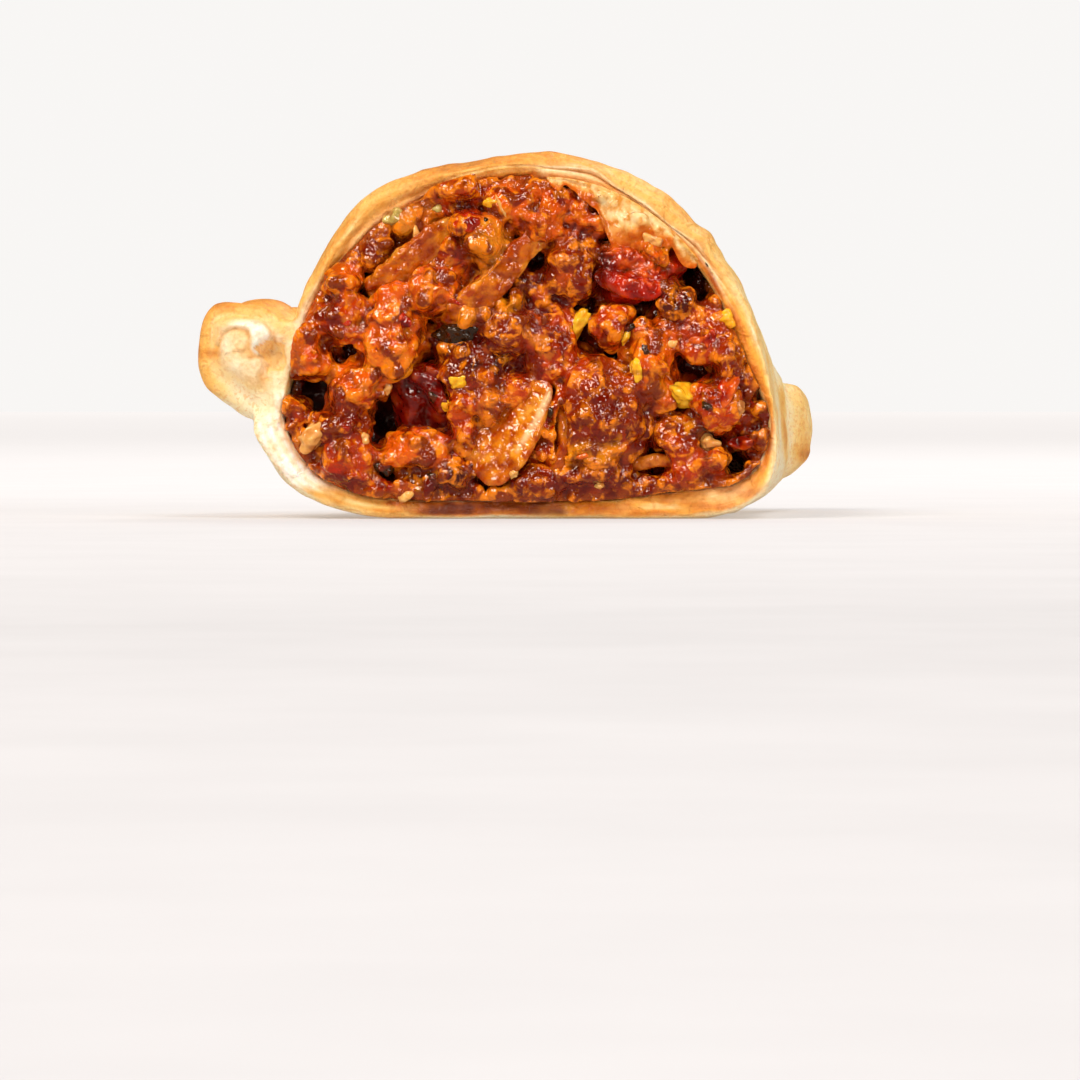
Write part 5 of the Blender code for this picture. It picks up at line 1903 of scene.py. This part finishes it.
# %% Bits of other things
# along, up, wide, high and tilt of each
YELLOW_PEPPER = (
    (56.6, 14.6, 3.7, 2.6, -22),
    (61.7, 23.3, 1.9, 1.5, 10),
    (44.3, 22.7, 1.3, 4.0, -38),
    (50.0, 21.4, 0.9, 2.6, -25),
    (30.2, 16.0, 1.6, 1.1, 15),
    (29.0, 13.4, 0.9, 1.2, 0),
    (51.4, 17.2, 1.2, 2.2, 5),
    (34.3, 37.0, 1.8, 1.1, 15),
)
GARLIC = (
    (59.6, 8.8, 2.7, 2.0, 10),
    (13.7, 9.8, 3.3, 2.3, 28),
    (24.2, 2.6, 1.8, 1.0, 30),
    (22.1, 15.4, 0.9, 1.3, 0),
    (25.6, 33.4, 0.7, 1.8, 15),
    (35.4, 36.7, 0.5, 2.2, 25),
    (46.8, 4.0, 1.0, 0.8, 20),
    (53.2, 32.3, 1.7, 1.2, -20),
    (19.4, 9.4, 1.2, 0.9, 30),
    (63.2, 13.0, 1.1, 1.5, 0),
    (55.4, 20.4, 1.0, 0.8, 0),
    (36.9, 5.4, 0.9, 1.3, 0),
)
OLIVE_AND_HERB = (
    (30.5, 21.6, 3.6, 2.0, -5),
    (27.5, 14.3, 1.2, 1.2, 0),
    (21.9, 6.0, 1.7, 1.9, 20),
    (27.5, 5.0, 1.1, 0.8, 0),
    (52.1, 19.9, 0.9, 0.9, 0),
    (50.7, 22.5, 1.3, 0.6, 40),
    (58.7, 10.6, 2.2, 0.8, 22),
    (59.3, 13.4, 1.1, 1.3, 0),
    (41.2, 12.5, 0.9, 1.4, 10),
    (33.7, 34.9, 0.6, 0.5, 0),
)
PALE_OLIVE = ((23.0, 35.2, 2.5, 1.9, 20), (28.0, 36.4, 1.0, 0.8, 0))
# kind by kind: dark and light colour, and the bits
BITS = {
    "yellow_pepper_bits": (("#fc9c0a", "#ffc628"), YELLOW_PEPPER),
    "garlic_bits": (("#c4661a", "#f8be68"), GARLIC),
    "olive_and_herb_bits": (("#080402", "#38200a"), OLIVE_AND_HERB),
    "pale_olive_bits": (("#8a6a1c", "#c8ad5c"), PALE_OLIVE),
}
BIT_VOXEL = 0.13
BIT_DRIFT = 1.3  # millimetres over which a bit's colour drifts
skins = [meat_skin, skin_of(pepper), skin_of(onion)]
for name, (hues, rows) in BITS.items():
    bits = solid_piece(name, small_bits(rows, skins), BIT_VOXEL, 1)
    points = points_of(bits)
    points += normals_of(bits) * (0.12 * puffs(points, 0.8, 80))[:, None]
    move_points(bits, points)
    # painted shade: each bit is painted darker in its hollows
    tone = 0.7 + 0.4 * waves(points, BIT_DRIFT, 84) - 0.6 * hollowness(bits, 8)
    bit_tint = ramp(tone, ((0.0, hues[0]), (1.0, hues[1])))
    sauce_share = smoothstep(0.20, 0.65, waves(points, 1.1, 85))
    paint(bits, "tint", mix(bit_tint, "#8c2404", 0.6 * sauce_share))
    flesh = wet_flesh(name.replace("_bits", "_flesh"), 0.8, "#f4dcc0", 0.6, 0.12, 0.2, (1.0, 0.6, 0.2))
    finish_piece(bits, flesh)

# %% [markdown]
# ### A film of dough
#
# Under the top right of the dome the innermost layer of dough has come loose, and lies over the meat like a
# wet veil: clear, whitish at its root and soaked orange along its torn lower edge. Evening a grid of depths
# many times lays it there: it starts on the meat and is kept just in front of it, as taut as dough is, and
# is then thickened to a third of a millimetre.

# %% Where the film hangs
FILM_LEFT, FILM_RIGHT, FILM_LONG = 40.8, 58.5, 6.6
ACROSS, DOWN = 90, 36
ROOF_ABOVE, ROOT_IF_NONE = 20, 30.0  # the wall's upper part, and a root where it has no points
roof_line = inner_outline(0.0, gap=-0.5)
film_points = []
for u in np.linspace(0, 1, ACROSS):
    x = FILM_LEFT + (FILM_RIGHT - FILM_LEFT) * u
    near = roof_line[(np.abs(roof_line[:, 0] - x) < 1.2) & (roof_line[:, 1] > ROOF_ABOVE)]
    root = float(np.interp(x, near[:, 0], near[:, 1])) if len(near) > 1 else ROOT_IF_NONE
    spot_on_line = np.array([[x, 0.0, 0.0]])
    length = FILM_LONG * math.sin(math.pi * u) ** 0.5
    length *= 0.75 + 0.40 * waves(spot_on_line, 2.6, 90)[0] + 0.32 * waves(spot_on_line, 0.9, 91)[0]
    for v in np.linspace(0, 1, DOWN):
        z = root - max(length, 0.3) * v
        film_points.append((x, depth_at(x, z, [meat_skin]), z))
film_grid = np.array(film_points).reshape(ACROSS, DOWN, 3)
print("the film hangs down to", round(film_grid[:, :, 2].min(), 1), "mm above the base")

# %% Lay the film over the meat
DEEPEST, ROOT_DEPTH, TAUT, IN_FRONT = 1.0, 0.6, 0.02, 0.30
hang = np.linspace(0, 1, DOWN)[None, :]
film_depth = np.minimum(film_grid[:, :, 1], DEEPEST)
meat_depth = film_depth.copy()
for _ in range(60):
    padded = np.pad(film_depth, 1, mode="edge")
    around = (padded[2:, 1:-1] + padded[:-2, 1:-1] + padded[1:-1, 2:] + padded[1:-1, :-2]) / 4
    film_depth = np.minimum(around, film_depth + TAUT)
root_share = smoothstep(0.45, 0.05, hang)
film_depth = film_depth * (1 - root_share) + ROOT_DEPTH * root_share
film_grid[:, :, 1] = np.minimum(film_depth, meat_depth) - IN_FRONT
print("mean gap to the meat", round((meat_depth - film_grid[:, :, 1]).mean(), 2), "mm")

# %% Film of dough
FILM_THICK = 0.3
flat = film_grid.reshape(-1, 3)
flat[:, 1] += 0.22 * waves(flat, 2.4, 92) + 0.08 * waves(flat, 0.9, 93)
back = flat + (0, FILM_THICK, 0)
count = len(flat)
square = np.arange(count).reshape(ACROSS, DOWN)
corners = (square[:-1, :-1], square[:-1, 1:], square[1:, 1:], square[1:, :-1])
fronts = np.column_stack([corner.ravel() for corner in corners]).tolist()
rim_loop = [*square[0, :], *square[1:, -1], *square[-1, -2::-1], *square[-2:0:-1, 0]]
faces = [*fronts, *[tuple(i + count for i in reversed(face)) for face in fronts]]
faces += [(b, a, a + count, b + count) for a, b in zip(rim_loop, rim_loop[1:] + rim_loop[:1])]
film = mesh_object("dough_film", np.vstack([flat, back]), faces)
turn_faces_out(film)
points = points_of(film)
hung = np.tile(np.broadcast_to(hang, (ACROSS, DOWN)).ravel(), 2)
patchy = hung + 0.30 * waves(points, 2.4, 94) + 0.12 * waves(points, 0.9, 95)
wet = smoothstep(0.50, 0.95, patchy)
film_tint = ramp(patchy, ((0.0, "#f2b860"), (0.30, "#f8d094"), (0.5, "#f0b468"), (0.75, "#e4862c")))
paint(film, "tint", mix(film_tint, "#d05e0e", 0.9 * wet))
film_flesh = wet_flesh("steamed_dough_film", 0.9, "#e4b87c", 0.55, 0.12, 0.2, (1.2, 0.8, 0.4))
fill(film_flesh.node_tree.nodes["Principled BSDF"], {"Coat Weight": 0.5})
finish_piece(film, film_flesh)
